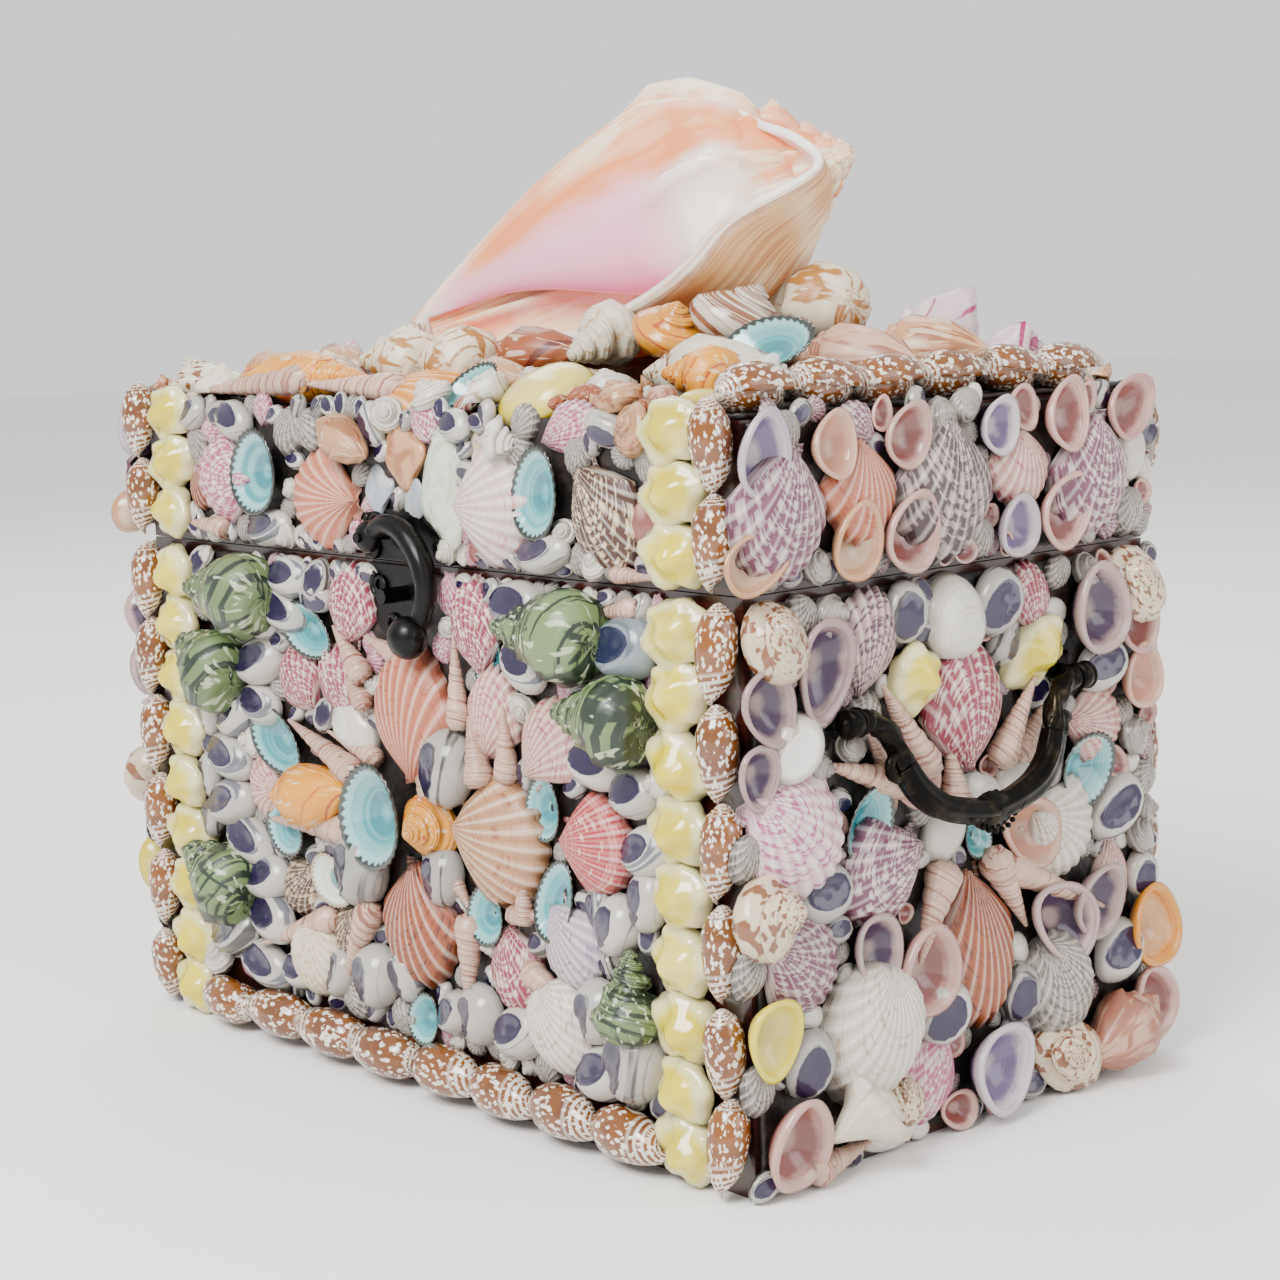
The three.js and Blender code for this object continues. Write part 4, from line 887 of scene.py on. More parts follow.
def fill_gaps(rows, area, choices, clear=()):
    """Small shells for the bare glue: the widest gaps first, each shell just larger than its gap."""
    low_x, high_x, low_y, high_y = area
    taken = [row for row in rows] + [["clear", *spot] for spot in clear]
    extra = []
    for need in (7.5, 5.5, 4.0, 3.0, 2.2, 1.6):
        across = low_x + need
        while across < high_x - need:
            upward = low_y + need
            while upward < high_y - need:
                x = across + chance.uniform(-1, 1)
                y = upward + chance.uniform(-1, 1)
                if room_at(x, y, taken) > need:
                    kind, dress, slim = chance.choice(choices)
                    size = 2.0 * need + 5
                    row = [kind, x, y, chance.uniform(0, 360), size, slim * size, dress]
                    extra.append(row)
                    taken.append(row)
                upward += 4
            across += 4
    return extra


def field(name, rows, face, body, node):
    by_finish = {}
    rows = [[*row[:4], FIT * row[4], FIT * row[5], *row[6:]] for row in rows]
    for row in rows:
        by_finish.setdefault(forms[row[0]][1], []).append(row)
    for finish, group in by_finish.items():
        shell_piece(f"{name}_{finish}", group, face, body, [node])
    print(f"{name}: {len(rows)} shells in {len(by_finish)} pieces")


def tower_row(row):
    tip_x, tip_y, base_x, base_y, width = row[:5]
    heading = math.degrees(math.atan2(tip_y - base_y, tip_x - base_x))
    length = math.hypot(tip_x - base_x, tip_y - base_y)
    middle = ((tip_x + base_x) / 2, (tip_y + base_y) / 2)
    lift = row[5] if len(row) > 5 else 0
    return ["tower", *middle, heading, length, 0.82 * width, lift, 0, "drill"]

# %% [markdown]
# ## The glue beds
# Under the shells each face has a bed of dark glue a couple of millimetres thick, with an uneven
# skin. On the lid it is heaped up in the middle, where the conch rests.

# %%
def loose_piece(name, bm, finish, body, nodes):
    for face in bm.faces:
        face.smooth = True
    mesh = bpy.data.meshes.new(name)
    bm.to_mesh(mesh)
    bm.free()
    mesh.materials.append(finishes[finish])
    piece = bpy.data.objects.new(name, mesh)
    bpy.context.collection.objects.link(piece)
    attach(piece, body)
    if nodes:
        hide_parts(*nodes)
    return piece


def glue_bed(name, face, body, node, low_across, high_across, low_up, high_up, heap=False):
    bm = bmesh.new()
    bmesh.ops.create_grid(bm, x_segments=90, y_segments=60, size=0.5)
    for v in bm.verts:
        x = low_across + (v.co.x + 0.5) * (high_across - low_across)
        y = low_up + (v.co.y + 0.5) * (high_up - low_up)
        z = 1.7 + 0.9 * noise.noise(Vector((x, y, 0)) * 0.18)
        if heap:
            z += 15 * max(1 - (x / 125) ** 2 - ((y + 4) / 64) ** 2, 0) ** 0.8
        v.co = (x, y, z)
    rim = [e for e in bm.edges if e.is_boundary]
    made = bmesh.ops.extrude_edge_only(bm, edges=rim)["geom"]
    lowered = [v for v in made if isinstance(v, bmesh.types.BMVert)]
    for v in lowered:
        v.co.z = 0
    bmesh.ops.contextual_create(bm, geom=[e for e in made if isinstance(e, bmesh.types.BMEdge) and e.is_boundary])
    bmesh.ops.transform(bm, verts=bm.verts, matrix=planes[face])
    bmesh.ops.recalc_face_normals(bm, faces=bm.faces)
    return loose_piece(name, bm, "glue", body, [node])


HALF_WIDTH = WIDTH / 2
HALF_DEPTH = DEPTH / 2
glue_bed("front_case_bed", "front", "case", "case_front_shells", -133, 133, 25, 197)
glue_bed("front_lid_bed", "front", "lid", "lid_front_shells", -133, 133, 203, 255)
glue_bed("right_case_bed", "right", "case", "case_right_shells", 2 - HALF_DEPTH, HALF_DEPTH - 2, 4, 197)
glue_bed("right_lid_bed", "right", "lid", "lid_right_shells", 2 - HALF_DEPTH, HALF_DEPTH - 2, 203, 255)
glue_bed("left_case_bed", "left", "case", "case_left_shells", 2 - HALF_DEPTH, HALF_DEPTH - 2, 4, 197)
glue_bed("left_lid_bed", "left", "lid", "lid_left_shells", 2 - HALF_DEPTH, HALF_DEPTH - 2, 203, 255)
glue_bed("back_case_bed", "back", "case", "case_back_shells", 4 - HALF_WIDTH, HALF_WIDTH - 4, 8, 184)
glue_bed("back_lid_bed", "back", "lid", "lid_back_shells", 4 - HALF_WIDTH, HALF_WIDTH - 4, 216, 255)
glue_bed("top_bed", "top", "lid", "lid_top_shells", 3 - HALF_WIDTH, HALF_WIDTH - 3, 3 - HALF_DEPTH, HALF_DEPTH - 3, True)

# %% [markdown]
# ## The front of the case
# The pattern is a rose: a turquoise limpet in the middle, four big scallops round it, and drills
# pointing in between them. Green turbans, limpets and small snails fill the field.

# %%
front_case = [
    ["turban", -107, 185, 180, 54, 31, "green"],
    ["turban", -124, 152, 160, 40, 32, "green"],
    ["turban", -124, 65, 160, 42, 32, "green"],
    ["turban", 88, 182, 180, 51, 30, "green"],
    ["turban", 115, 156, 180, 39, 29, "green"],
    ["turban", 125, 62, 90, 28, 24, "green"],
    ["scallop", -67, 150, -55, 26, 25, "mottled red"],
    ["scallop", -40, 152, -65, 28, 26, "mottled red"],
    ["scallop", -31, 183, -100, 29, 27, "mottled red"],
    ["scallop", -93, 105, 0, 24, 27, "pink"],
    ["scallop", -72, 67, 40, 25, 23, "mottled brown"],
    ["scallop", -41, 54, 60, 22, 20, "mottled brown"],
    ["cockle", -62, 39, 70, 29, 28, "cream"],
    ["scallop", 43, 181, -80, 32, 27, "mottled red"],
    ["scallop", 51, 149, -110, 34, 27, "pink"],
    ["scallop", 83, 143, -130, 33, 30, "pink"],
    ["scallop", 59, 57, 110, 31, 27, "mottled red"],
    ["scallop", 91, 72, 130, 31, 29, "lilac"],
    ["cockle", 86, 41, 120, 32, 30, "white"],
    ["clam", -32, 134, 150, 25, 18, "white"],
    ["limpet", -57, 170, -20, 30, 18, "blue"],
    ["limpet", -80, 124, -25, 34, 21, "blue"],
    ["limpet", -76, 90, -10, 26, 21, "blue"],
    ["limpet", -48, 73, -20, 24, 18, "white"],
    ["limpet", 79, 120, 80, 22, 16, "blue"],
    ["limpet", 84, 87, 80, 27, 17, "blue"],
    ["limpet", 46, 76, 80, 21, 18, "blue"],
    ["limpet", 6, 29, 70, 19, 16, "blue"],
    ["limpet", 51, 169, 80, 19, 13, "blue"],
    ["nerite", -92, 155, 20, 25, 17, "dark"],
    ["nerite", -93, 138, -10, 22, 15, "dark"],
    ["nerite", -111, 131, 20, 23, 16, "dark"],
    ["nerite", -116, 114, -10, 29, 17, "dark"],
    ["nerite", -116, 95, 15, 29, 18, "dark"],
    ["nerite", -104, 81, -20, 27, 17, "dark"],
    ["nerite", -94, 67, 10, 25, 17, "dark"],
    ["nerite", -90, 51, -10, 27, 18, "dark"],
    ["nerite", -117, 41, 15, 31, 20, "pebble"],
    ["nerite", -97, 31, -15, 30, 17, "dark"],
    ["nerite", -47, 36, 60, 19, 15, "dark"],
    ["nerite", -22, 40, 80, 23, 21, "dark"],
    ["nerite", -4, 44, 100, 19, 16, "dark"],
    ["nerite", -27, 82, 60, 29, 25, "pebble"],
    ["nerite", -69, 191, 0, 24, 15, "dark"],
    ["nerite", -75, 177, -20, 24, 15, "dark"],
    ["nerite", -90, 171, 0, 20, 13, "dark"],
    ["nerite", 27, 127, 70, 27, 23, "pebble"],
    ["nerite", 21, 86, 80, 21, 18, "pebble"],
    ["nerite", 106, 138, -10, 23, 15, "dark"],
    ["nerite", 126, 131, 10, 20, 16, "dark"],
    ["nerite", 131, 112, 20, 22, 16, "dark"],
    ["nerite", 131, 95, 80, 20, 16, "dark"],
    ["nerite", 116, 84, 60, 20, 18, "dark"],
    ["nerite", 105, 88, 90, 14, 11, "dark"],
    ["nerite", 105, 52, 70, 22, 19, "dark"],
    ["nerite", 124, 38, 70, 27, 24, "pebble"],
    ["nerite", 107, 30, 20, 25, 18, "dark"],
    ["nerite", 25, 35, 30, 20, 15, "dark"],
    ["nerite", 41, 38, 60, 22, 20, "dark"],
    ["nerite", 62, 35, 20, 23, 18, "dark"],
    ["nerite", 68, 191, 0, 24, 16, "dark"],
    ["nerite", 71, 169, -30, 22, 16, "dark"],
    ["nerite", 124, 180, 10, 26, 20, "slate"],
    ["nerite", -131, 130, 90, 17, 13, "dark"],
    ["nerite", -133, 104, 90, 18, 12, "dark"],
    ["nerite", -132, 86, 70, 16, 13, "pebble"],
    ["nerite", -75, 32, -10, 17, 14, "dark"],
    ["moon", 138, 136, 180, 13, 12, "white"],
    ["moon", 62, 102, 90, 11, 10, "cream"]
]
front_case_towers = [
    [-70, 133, -26, 118, 13],
    [-46, 132, -18, 125, 9],
    [-41, 172, -21, 156, 11],
    [-38, 158, -20, 145, 10],
    [-87, 92, -30, 97, 14],
    [-92, 41, -52, 57, 13],
    [-45, 31, -21, 67, 13],
    [31, 174, 35, 144, 10],
    [61, 153, 59, 128, 11],
    [40, 146, 48, 124, 13],
    [39, 130, 24, 114, 9],
    [36, 76, 22, 94, 10],
    [38, 39, 34, 71, 13],
    [67, 95, 66, 77, 10],
    [77, 80, 59, 78, 8],
    [96, 48, 69, 60, 11],
    [5, 131, 14, 114, 9],
    [-21, 171, -2, 166, 9],
    [104, 189, 129, 194, 8]
]
front_case += [tower_row(row) for row in front_case_towers]
rose_spots = [(-10, 106, 0, 42, 42), (-54, 106, 8, 56, 27), (54, 104, 0, 51, 52), (5, 145, 90, 54, 48), (5, 65, 90, 50, 48),
              (105, 110, 0, 38, 39), (16, 104, 0, 26, 21), (2, 186, 0, 46, 34)]
front_case += fill_gaps(front_case, (-138, 138, 22, 202), front_choices, rose_spots)
field("front_case", front_case, "front", "case", "case_front_shells")

# %% [markdown]
# ## The front of the lid

# %%
front_lid = [
    ["scallop", -111, 227, 0, 36, 33, "mottled pink"],
    ["nerite", -82, 207, 10, 27, 13, "dark"],
    ["scallop", -101, 207, 60, 12, 12, "grey"],
    ["clam", -63, 206, 0, 12, 9, "white"],
    ["cockle", -131, 238, 90, 16, 12, "grey"],
    ["cockle", -131, 221, 90, 15, 12, "brown"],
    ["cockle", -67, 246, 60, 18, 16, "grey"],
    ["whelk", -27, 244, 160, 33, 16, "tan"],
    ["chip", -12, 226, 80, 17, 14, "grey blue"],
    ["chip", 9, 222, 60, 17, 12, "grey blue"],
    ["chip", 5, 239, 80, 22, 20, "tan"],
    ["chip", -17, 212, 70, 10, 9, "cream"],
    ["chip", 34, 205, 0, 8, 8, "white"],
    ["chip", 27, 230, -90, 42, 22, "tooth"],
    ["chip", 46, 241, 90, 17, 7, "cream"],
    ["murex", 60, 248, 0, 21, 14, "white"],
    ["scallop", 57, 221, 180, 35, 40, "white pink"],
    ["cockle", 69, 243, 120, 14, 12, "grey"],
    ["cockle", 100, 242, 60, 14, 12, "grey"],
    ["scallop", 134, 241, 90, 14, 13, "grey"],
    ["clam", 133, 221, 90, 16, 13, "pink"],
    ["nerite", 82, 206, 10, 26, 13, "dark"],
    ["scallop", 98, 205, 90, 11, 11, "grey"],
    ["clam", 46, 206, 0, 13, 10, "pink"],
    ["moon", 130, 253, 90, 16, 14, "tan"],
    ["scallop", 95, 252, 200, 30, 16, "mottled pink"]
]
front_lid_towers = [
    [-137, 208, -111, 207, 10],
    [140, 202, 118, 202, 7]
]
front_lid += [tower_row(row) for row in front_lid_towers]
lid_spots = [(-84, 231, 90, 35, 31), (82, 230, 90, 34, 24), (-44, 222, 0, 42, 41), (114, 223, 125, 43, 36), (3, 208, 0, 54, 22)]
front_lid += fill_gaps(front_lid, (-138, 138, 198, 259), front_choices, lid_spots)
field("front_lid", front_lid, "front", "lid", "lid_front_shells")

# %% [markdown]
# ## The right end
# Open clams, scallops and drills are set round the handle. The left end, which is hidden, repeats
# the larger of them the other way round.

# %%
right_case = [
    ["clam", -9, 188, -90, 27, 27, "white"],
    ["scallop", -54, 181, -100, 34, 30, "purple"],
    ["scallop", 34, 189, -90, 24, 22, "mottled red"],
    ["cowrie", -31, 165, 90, 24, 21, "yellow"],
    ["cowrie", 34, 166, 40, 30, 20, "yellow"],
    ["open clam", -79, 174, -100, 32, 22, "purple"],
    ["open clam", -104, 165, -60, 25, 20, "purple"],
    ["open clam", -108, 143, -90, 20, 16, "purple"],
    ["open clam", 66, 179, 100, 30, 27, "purple"],
    ["open clam", 93, 171, 60, 24, 20, "pink"],
    ["open clam", 95, 150, 90, 22, 20, "peach"],
    ["open clam", -54, 73, -90, 26, 20, "purple"],
    ["open clam", -31, 65, 90, 29, 27, "pink"],
    ["open clam", 44, 67, 150, 36, 25, "purple"],
    ["open clam", 67, 71, 60, 26, 24, "purple"],
    ["open clam", -105, 57, -90, 25, 21, "yellow"],
    ["open clam", -95, 21, 90, 29, 25, "pink"],
    ["open clam", 8, 20, 30, 31, 28, "lilac"],
    ["open clam", 101, 24, 120, 28, 23, "pink"],
    ["open clam", 100, 53, 90, 28, 26, "orange"],
    ["open clam", 27, 102, 160, 28, 22, "peach"],
    ["nerite", -90, 150, 60, 22, 19, "white"],
    ["nerite", -77, 99, 20, 21, 18, "pebble"],
    ["nerite", 81, 102, 30, 28, 19, "dark"],
    ["nerite", 24, 43, 80, 20, 17, "pebble"],
    ["nerite", 82, 46, 30, 25, 20, "dark"],
    ["nerite", -18, 46, 60, 22, 20, "dark"],
    ["nerite", -87, 44, 80, 22, 19, "pebble"],
    ["nerite", 74, 156, 20, 23, 17, "dark"],
    ["nerite", -35, 190, 80, 19, 16, "pebble"],
    ["nerite", 13, 189, 60, 23, 19, "pebble"],
    ["scallop", -90, 121, 140, 42, 42, "pink white"],
    ["scallop", -88, 77, 150, 38, 34, "purple white"],
    ["cockle", -56, 46, 80, 44, 42, "white"],
    ["scallop", 49, 99, 150, 34, 38, "white"],
    ["scallop", 71, 135, 170, 33, 27, "pink"],
    ["scallop", 82, 74, 90, 32, 20, "pink"],
    ["scallop", -26, 23, 60, 33, 30, "mottled pink"],
    ["scallop", 24, 24, 100, 26, 20, "lilac"],
    ["cockle", 47, 40, 120, 38, 34, "grey"],
    ["limpet", -55, 120, 80, 26, 20, "blue"],
    ["limpet", 63, 120, 30, 27, 24, "blue"],
    ["limpet", 3, 104, 90, 15, 13, "blue"],
    ["clam", -14, 108, 70, 21, 18, "white"],
    ["moon", -106, 97, 20, 27, 25, "spotted"],
    ["moon", -100, 190, 100, 24, 22, "spotted"],
    ["moon", 91, 191, 120, 27, 22, "spotted"],
    ["moon", 48, 13, 150, 29, 24, "spotted"],
    ["moon", -41, 20, 100, 19, 17, "spotted"],
    ["murex", -68, 24, 20, 30, 27, "cream"],
    ["whelk", 79, 19, 20, 39, 26, "peach"],
    ["clam", -44, 8, 0, 26, 12, "white"],
    ["cockle", -107, 38, 90, 15, 13, "grey"],
    ["cockle", -110, 78, 60, 16, 13, "grey"],
    ["cockle", -84, 192, 60, 15, 14, "grey"],
    ["moon", -71, 191, 20, 14, 13, "grey"],
    ["cockle", -110, 116, 90, 15, 13, "grey"],
    ["cockle", 51, 194, 90, 12, 12, "grey"],
    ["moon", 66, 193, 90, 12, 11, "grey"],
    ["moon", 94, 127, 60, 15, 13, "grey"],
    ["cockle", 101, 108, 60, 15, 13, "grey"],
    ["moon", 98, 88, 90, 14, 12, "grey"],
    ["nerite", 99, 73, 80, 16, 14, "dark"]
]
right_case_towers = [
    [-33, 68, -17, 96, 15],
    [27, 69, 6, 97, 14],
    [72, 66, 14, 92, 13],
    [-50, 164, -25, 133, 14],
    [-73, 141, -40, 130, 13],
    [-55, 150, -42, 131, 10],
    [31, 156, 14, 130, 13],
    [39, 147, 25, 130, 11],
    [46, 142, 36, 126, 10],
    [-12, 138, -12, 118, 12],
    [-57, 9, -86, 6, 12]
]
right_lid = [
    ["scallop", -94, 222, 80, 42, 40, "purple white"],
    ["scallop", -55, 230, 90, 32, 33, "salmon"],
    ["scallop", -14, 225, 90, 46, 46, "grey purple"],
    ["scallop", 28, 232, 90, 27, 30, "pink"],
    ["scallop", 67, 225, 90, 43, 42, "purple white"],
    ["open clam", -104, 247, 90, 26, 20, "lilac"],
    ["open clam", -71, 246, 60, 21, 18, "peach"],
    ["open clam", -34, 248, 60, 21, 18, "pink"],
    ["open clam", 14, 248, 60, 19, 17, "lilac"],
    ["open clam", 50, 249, 60, 25, 20, "pink"],
    ["open clam", 88, 250, 30, 27, 19, "pink"],
    ["open clam", -106, 209, 20, 27, 17, "tan"],
    ["open clam", -61, 212, 80, 24, 20, "tan"],
    ["open clam", -35, 213, 70, 25, 23, "pink"],
    ["open clam", 23, 213, 90, 20, 19, "lilac"],
    ["open clam", 49, 213, 40, 28, 22, "pink"],
    ["cockle", -88, 251, 90, 13, 11, "grey"],
    ["moon", -77, 207, 90, 12, 11, "grey"],
    ["cockle", -21, 207, 90, 12, 11, "grey"],
    ["cockle", 8, 207, 90, 13, 12, "grey"],
    ["moon", -14, 252, 90, 13, 12, "grey"],
    ["cockle", 92, 210, 90, 17, 15, "grey"],
    ["clam", 94, 232, 90, 20, 15, "white"]
]
right_case += [tower_row(row) for row in right_case_towers]
end_spots = [(-4, 152, 90, 50, 44), (2, 64, 90, 61, 44), (-48, 101, 20, 45, 40), (-71, 156, 0, 20, 20), (51, 156, 0, 20, 20)]
right_case += fill_gaps(right_case, (-108, 108, 2, 201), end_choices, end_spots)
right_lid += fill_gaps(right_lid, (-108, 108, 199, 260), end_choices)
field("right_case", right_case, "right", "case", "case_right_shells")
field("right_lid", right_lid, "right", "lid", "lid_right_shells")


def mirrored(rows, shortest):
    return [[kind, -across, up, 180 - turn, length, *rest] for kind, across, up, turn, length, *rest in rows
            if length >= shortest]


left_case = mirrored(right_case, 9)
left_case += [["scallop", 4, 152, -90, 46, 40, "mottled red"], ["scallop", -2, 64, 82, 52, 40, "brown"],
              ["scallop", 48, 101, 160, 41, 37, "purple white"]]
left_case += fill_gaps(left_case, (-108, 108, 2, 201), end_choices, [(71, 156, 0, 20, 20), (-51, 156, 0, 20, 20)])
field("left_case", left_case, "left", "case", "case_left_shells")
field("left_lid", mirrored(right_lid, 9), "left", "lid", "lid_left_shells")

# %% [markdown]
# ## The back
# Plainer than the front: a limpet, a ring of scallops, a ring of snails, and columns at the sides.

# %%
def column(kind, across, pitch, first, count, turn, length, width, dress):
    sway = 22 if kind == "cowrie" else 3
    return [[kind, across, first + i * pitch, turn + chance.uniform(-sway, sway), length, width, dress] for i in range(count)]


def round_the_rose(kind, count, across, up, length, width, dress_names):
    rows = []
    for i in range(count):
        angle = 2 * math.pi * (i + 0.5) / count
        place = (across * math.cos(angle), 98 + up * math.sin(angle))
        rows.append([kind, *place, 180 + math.degrees(angle), length, width, dress_names[i % len(dress_names)]])
    return rows


back_case = [["limpet", 0, 98, 90, 38, 34, "blue"]]
back_case += round_the_rose("scallop", 8, 40, 40, 38, 36, ["rose", "mottled pink"])
back_case += round_the_rose("nerite", 14, 64, 62, 22, 18, ["dark", "grey"])
back_case += round_the_rose("nerite", 20, 86, 76, 24, 18, ["dark"])
back_lid = [["scallop", -120 + 30 * i, 237, 90, 31, 33, ("mottled pink", "salmon", "purple white")[i % 3]] for i in range(9)]
back_lid += [["nerite", -105 + 30 * i, 223, 0, 18, 13, "dark"] for i in range(8)]
for way in (-1, 1):
    back_case += column("cockle", way * 114, 40, 30, 4, 90, 34, 34, "white")
    back_case += column("nerite", way * 114, 40, 50, 4, 0, 24, 17, "dark")
    back_case += column("cowrie", way * 148, 22, 18, 8, 0, 27, 22, "yellow")
    back_case += column("olive", way * 168, 33, 18, 5, 90, 34.5, 15, "olive")
    back_lid += column("cowrie", way * 148, 20, 228, 2, 0, 29, 22, "yellow")
    back_lid += [["olive", way * 168, 237, 90, 34, 15, "olive"]]
back_case += fill_gaps(back_case, (-166, 166, 8, 184), front_choices)
back_lid += fill_gaps(back_lid, (-166, 166, 216, 257), front_choices)
field("back_case", back_case, "back", "case", "case_back_shells")
field("back_lid", back_lid, "back", "lid", "lid_back_shells")

# %% [markdown]
# ## Columns of cowries and olives
# They bind the corners of the front like the quoins of a house, and a row of olives runs along the foot.

# %%
for way, label in ((-1, "left"), (1, "right")):
    sets = [
        ("case_cowries", column("cowrie", way * 148, 22, 12, 9, 0, 31, 25.5, "yellow"), "case"),
        ("lid_cowries", column("cowrie", way * 148, 20, 212, 3, 0, 31, 23.5, "yellow"), "lid"),
        ("case_olives", column("olive", way * 168, 33, 18, 6, 90, 34.5, 15, "olive"), "case"),
        ("lid_olives", column("olive", way * 168, 31, 217.5, 2, 90, 32.5, 15, "olive"), "lid"),
    ]
    for name, rows, body in sets:
        shell_piece(f"{name}_{label}_dressed", rows, "front", body, [f"{name}_{label}"], 12)
bottom_left = [["olive", across, 13, 0, 40, 19, "olive"] for across in (-121, -86, -51, -16)]
bottom_right = [["olive", across, 13, 180, 39, 19, "olive"] for across in (24, 57.5, 91, 124)]
shell_piece("foot_olives_left", bottom_left, "front", "case", ["bottom_olives_left"], 8)
shell_piece("foot_olives_right", bottom_right, "front", "case", ["bottom_olives_right"], 8)

# %% [markdown]
# ## The lid's top
# Shells are piled against the conch, largest at the front right. Olives run along the right edge.

# %%
lid_top = [
    ["moon", -150, -95, 200, 25, 22, 0, 0, "speckled"],
    ["cowrie", -128, -99, 90, 20, 18, 2, 0, "cream"],
    ["murex", -74, -80, 0, 30, 20, 2, 0, "lace"],
    ["murex", -98, -78, 180, 32, 20, 2, 0, "lace"],
    ["whelk", -126, -76, 180, 36, 18, 2, 0, "tan"],
    ["turban", -45, -76, 180, 38, 27, 4, 0, "net"],
    ["turban", -14, -74, 180, 38, 28, 4, 0, "net"],
    ["murex", -62, -56, 150, 34, 24, 10, 0, "lace"],
    ["moon", 17, -104, 200, 15, 14, 0, 20, "white"],
    ["murex", 45, -104, 90, 20, 16, 0, 20, "white"],
    ["cockle", 35, -103, 90, 12, 10, 0, 20, "brown"],
    ["clam", 67, -94, 0, 36, 30, 1, 25, "yellow"],
    ["moon", 117, -103, 160, 17, 15, 0, 20, "tan"],
    ["turban", 131, -84, 180, 28, 20, 4, 0, "orange"],
    ["clam", 146, -96, 90, 18, 14, 2, 0, "yellow"],
    ["murex", 150, -76, 60, 24, 19, 2, 0, "white"],
    ["whelk", 22, -80, 200, 30, 16, 2, 0, "tan"],
    ["moon", 93, -58, -20, 25, 24, 18, 0, "orange"],
    ["moon", 113, -46, 30, 30, 28, 20, 0, "ringed"],
    ["turban", 96, 2, 180, 50, 30, 20, 0, "net"],
    ["whelk", 140, -18, 190, 46, 24, 4, 0, "peach"],
    ["whelk", 146, 12, 200, 44, 24, 6, 0, "tan"],
    ["murex", 128, 38, 100, 34, 30, 12, 0, "magenta"],
    ["murex", 140, 62, 60, 30, 24, 4, 0, "magenta"],
    ["murex", -128, 34, 120, 34, 28, 12, 0, "magenta"],
    ["murex", -134, 2, 170, 34, 22, 8, 0, "orange"],
    ["murex", -140, -28, 180, 34, 22, 2, 0, "magenta"],
    ["whelk", -116, -50, 170, 36, 20, 2, 0, "tan"]
]
lid_top_towers = [
    [-128, -107, -62, -104, 14, 0],
    [-56, -106, -8, -101, 14, 0],
    [-92, -92, -48, -90, 13, 0],
    [128, -62, 168, -58, 11, 4]
]
top_rows = lid_top + [tower_row(row) for row in lid_top_towers]
top_rows += [["olive", 165, -88 + 32 * i, -90, 33, 16, 0, 0, "olive"] for i in range(6)]
for row_number, distance in enumerate((44, 72, 98)):
    for i in range(6):
        kind = "scallop" if row_number == 1 else "moon"
        dress = ("mottled pink", "salmon", "purple white")[i % 3] if kind == "scallop" else ("spotted", "peach", "ringed")[i % 3]
        top_rows.append([kind, -130 + 50 * i, distance, 90, 36, 27, 0, 0, dress])
flat_rows = [row[:6] for row in top_rows]
conch_spots = [(-10, -4, 16, 200, 68), (45, -26, 0, 130, 50), (62, -60, 90, 26, 24), (146, -60, 0, 42, 30), (32, -95, 0, 27, 24), (119, -66, 0, 60, 28),
                (-74, -97, 0, 87, 24), (-4, -92, 0, 44, 40), (20, -60, 0, 50, 24)]
for row in fill_gaps(flat_rows, (-172, 160, -106, 110), top_choices, conch_spots):
    heap = 15 * max(1 - (row[1] / 125) ** 2 - ((row[2] + 4) / 64) ** 2, 0) ** 0.8
    top_rows.append([*row[:6], heap, 0, row[6]])
field("lid_top", top_rows, "top", "lid", "lid_top_shells")

# %% [markdown]
# ## The larger shells
# Each is a piece of its own.

# %%
showpieces = [
    ("turquoise_limpet", "front", "case", ["limpet", -10, 106, 80, 42, 38, 4, 0, "blue"]),
    ("orange_top_shell", "front", "case", ["top", 16, 104, -20, 27, 25, "orange"]),
    ("yellow_whelk", "front", "case", ["whelk", -54, 106, 188, 56, 27, "orange"]),
    ("tan_scallop", "front", "case", ["scallop", 54, 104, 172, 51, 52, "tan"]),
    ("rose_scallop", "front", "case", ["scallop", 5, 145, -84, 54, 48, "rose"]),
    ("brown_scallop", "front", "case", ["scallop", 5, 65, 92, 50, 48, "brown"]),
    ("red_scallop", "front", "case", ["scallop", 105, 110, 180, 38, 39, "red"]),
    ("lid_limpet_left", "front", "lid", ["limpet", -84, 231, 78, 35, 31, "blue"]),
    ("lid_limpet_right", "front", "lid", ["limpet", 82, 230, 80, 34, 24, "blue"]),
    ("salmon_scallop", "front", "lid", ["scallop", -44, 222, 0, 42, 41, "salmon"]),
    ("mottled_scallop", "front", "lid", ["scallop", 114, 223, 125, 43, 36, "mottled brown"]),
    ("end_purple_scallop", "right", "case", ["scallop", -4, 152, -90, 50, 44, "mottled red"]),
    ("end_brown_scallop", "right", "case", ["scallop", 2, 64, 98, 61, 44, "brown"]),
    ("end_striped_scallop", "right", "case", ["scallop", -48, 101, 20, 45, 40, "purple white"]),
    ("spiky_turban", "top", "lid", ["turban", 62, -60, -90, 30, 27, 14, 20, "cream"]),
    ("large_blue_limpet", "top", "lid", ["limpet", 146, -60, 8, 42, 26, 16, 50, "blue"]),
    ("small_blue_limpet", "top", "lid", ["limpet", 32, -95, 60, 27, 24, 2, 50, "blue"]),
    ("speckled_cowrie", "top", "lid", ["whelk", 119, -66, 180, 66, 30, 0, 0, "speckled"]),
    ("banded_auger", "top", "lid", ["whelk", -74, -97, 0, 87, 24, 0, 0, "orange"]),
    ("orange_scallop", "top", "lid", ["scallop", -4, -92, -150, 44, 40, 1, 20, "orange"]),
    ("brown_whelk", "top", "lid", ["whelk", 20, -60, 188, 50, 24, 8, 0, "brown"]),
]
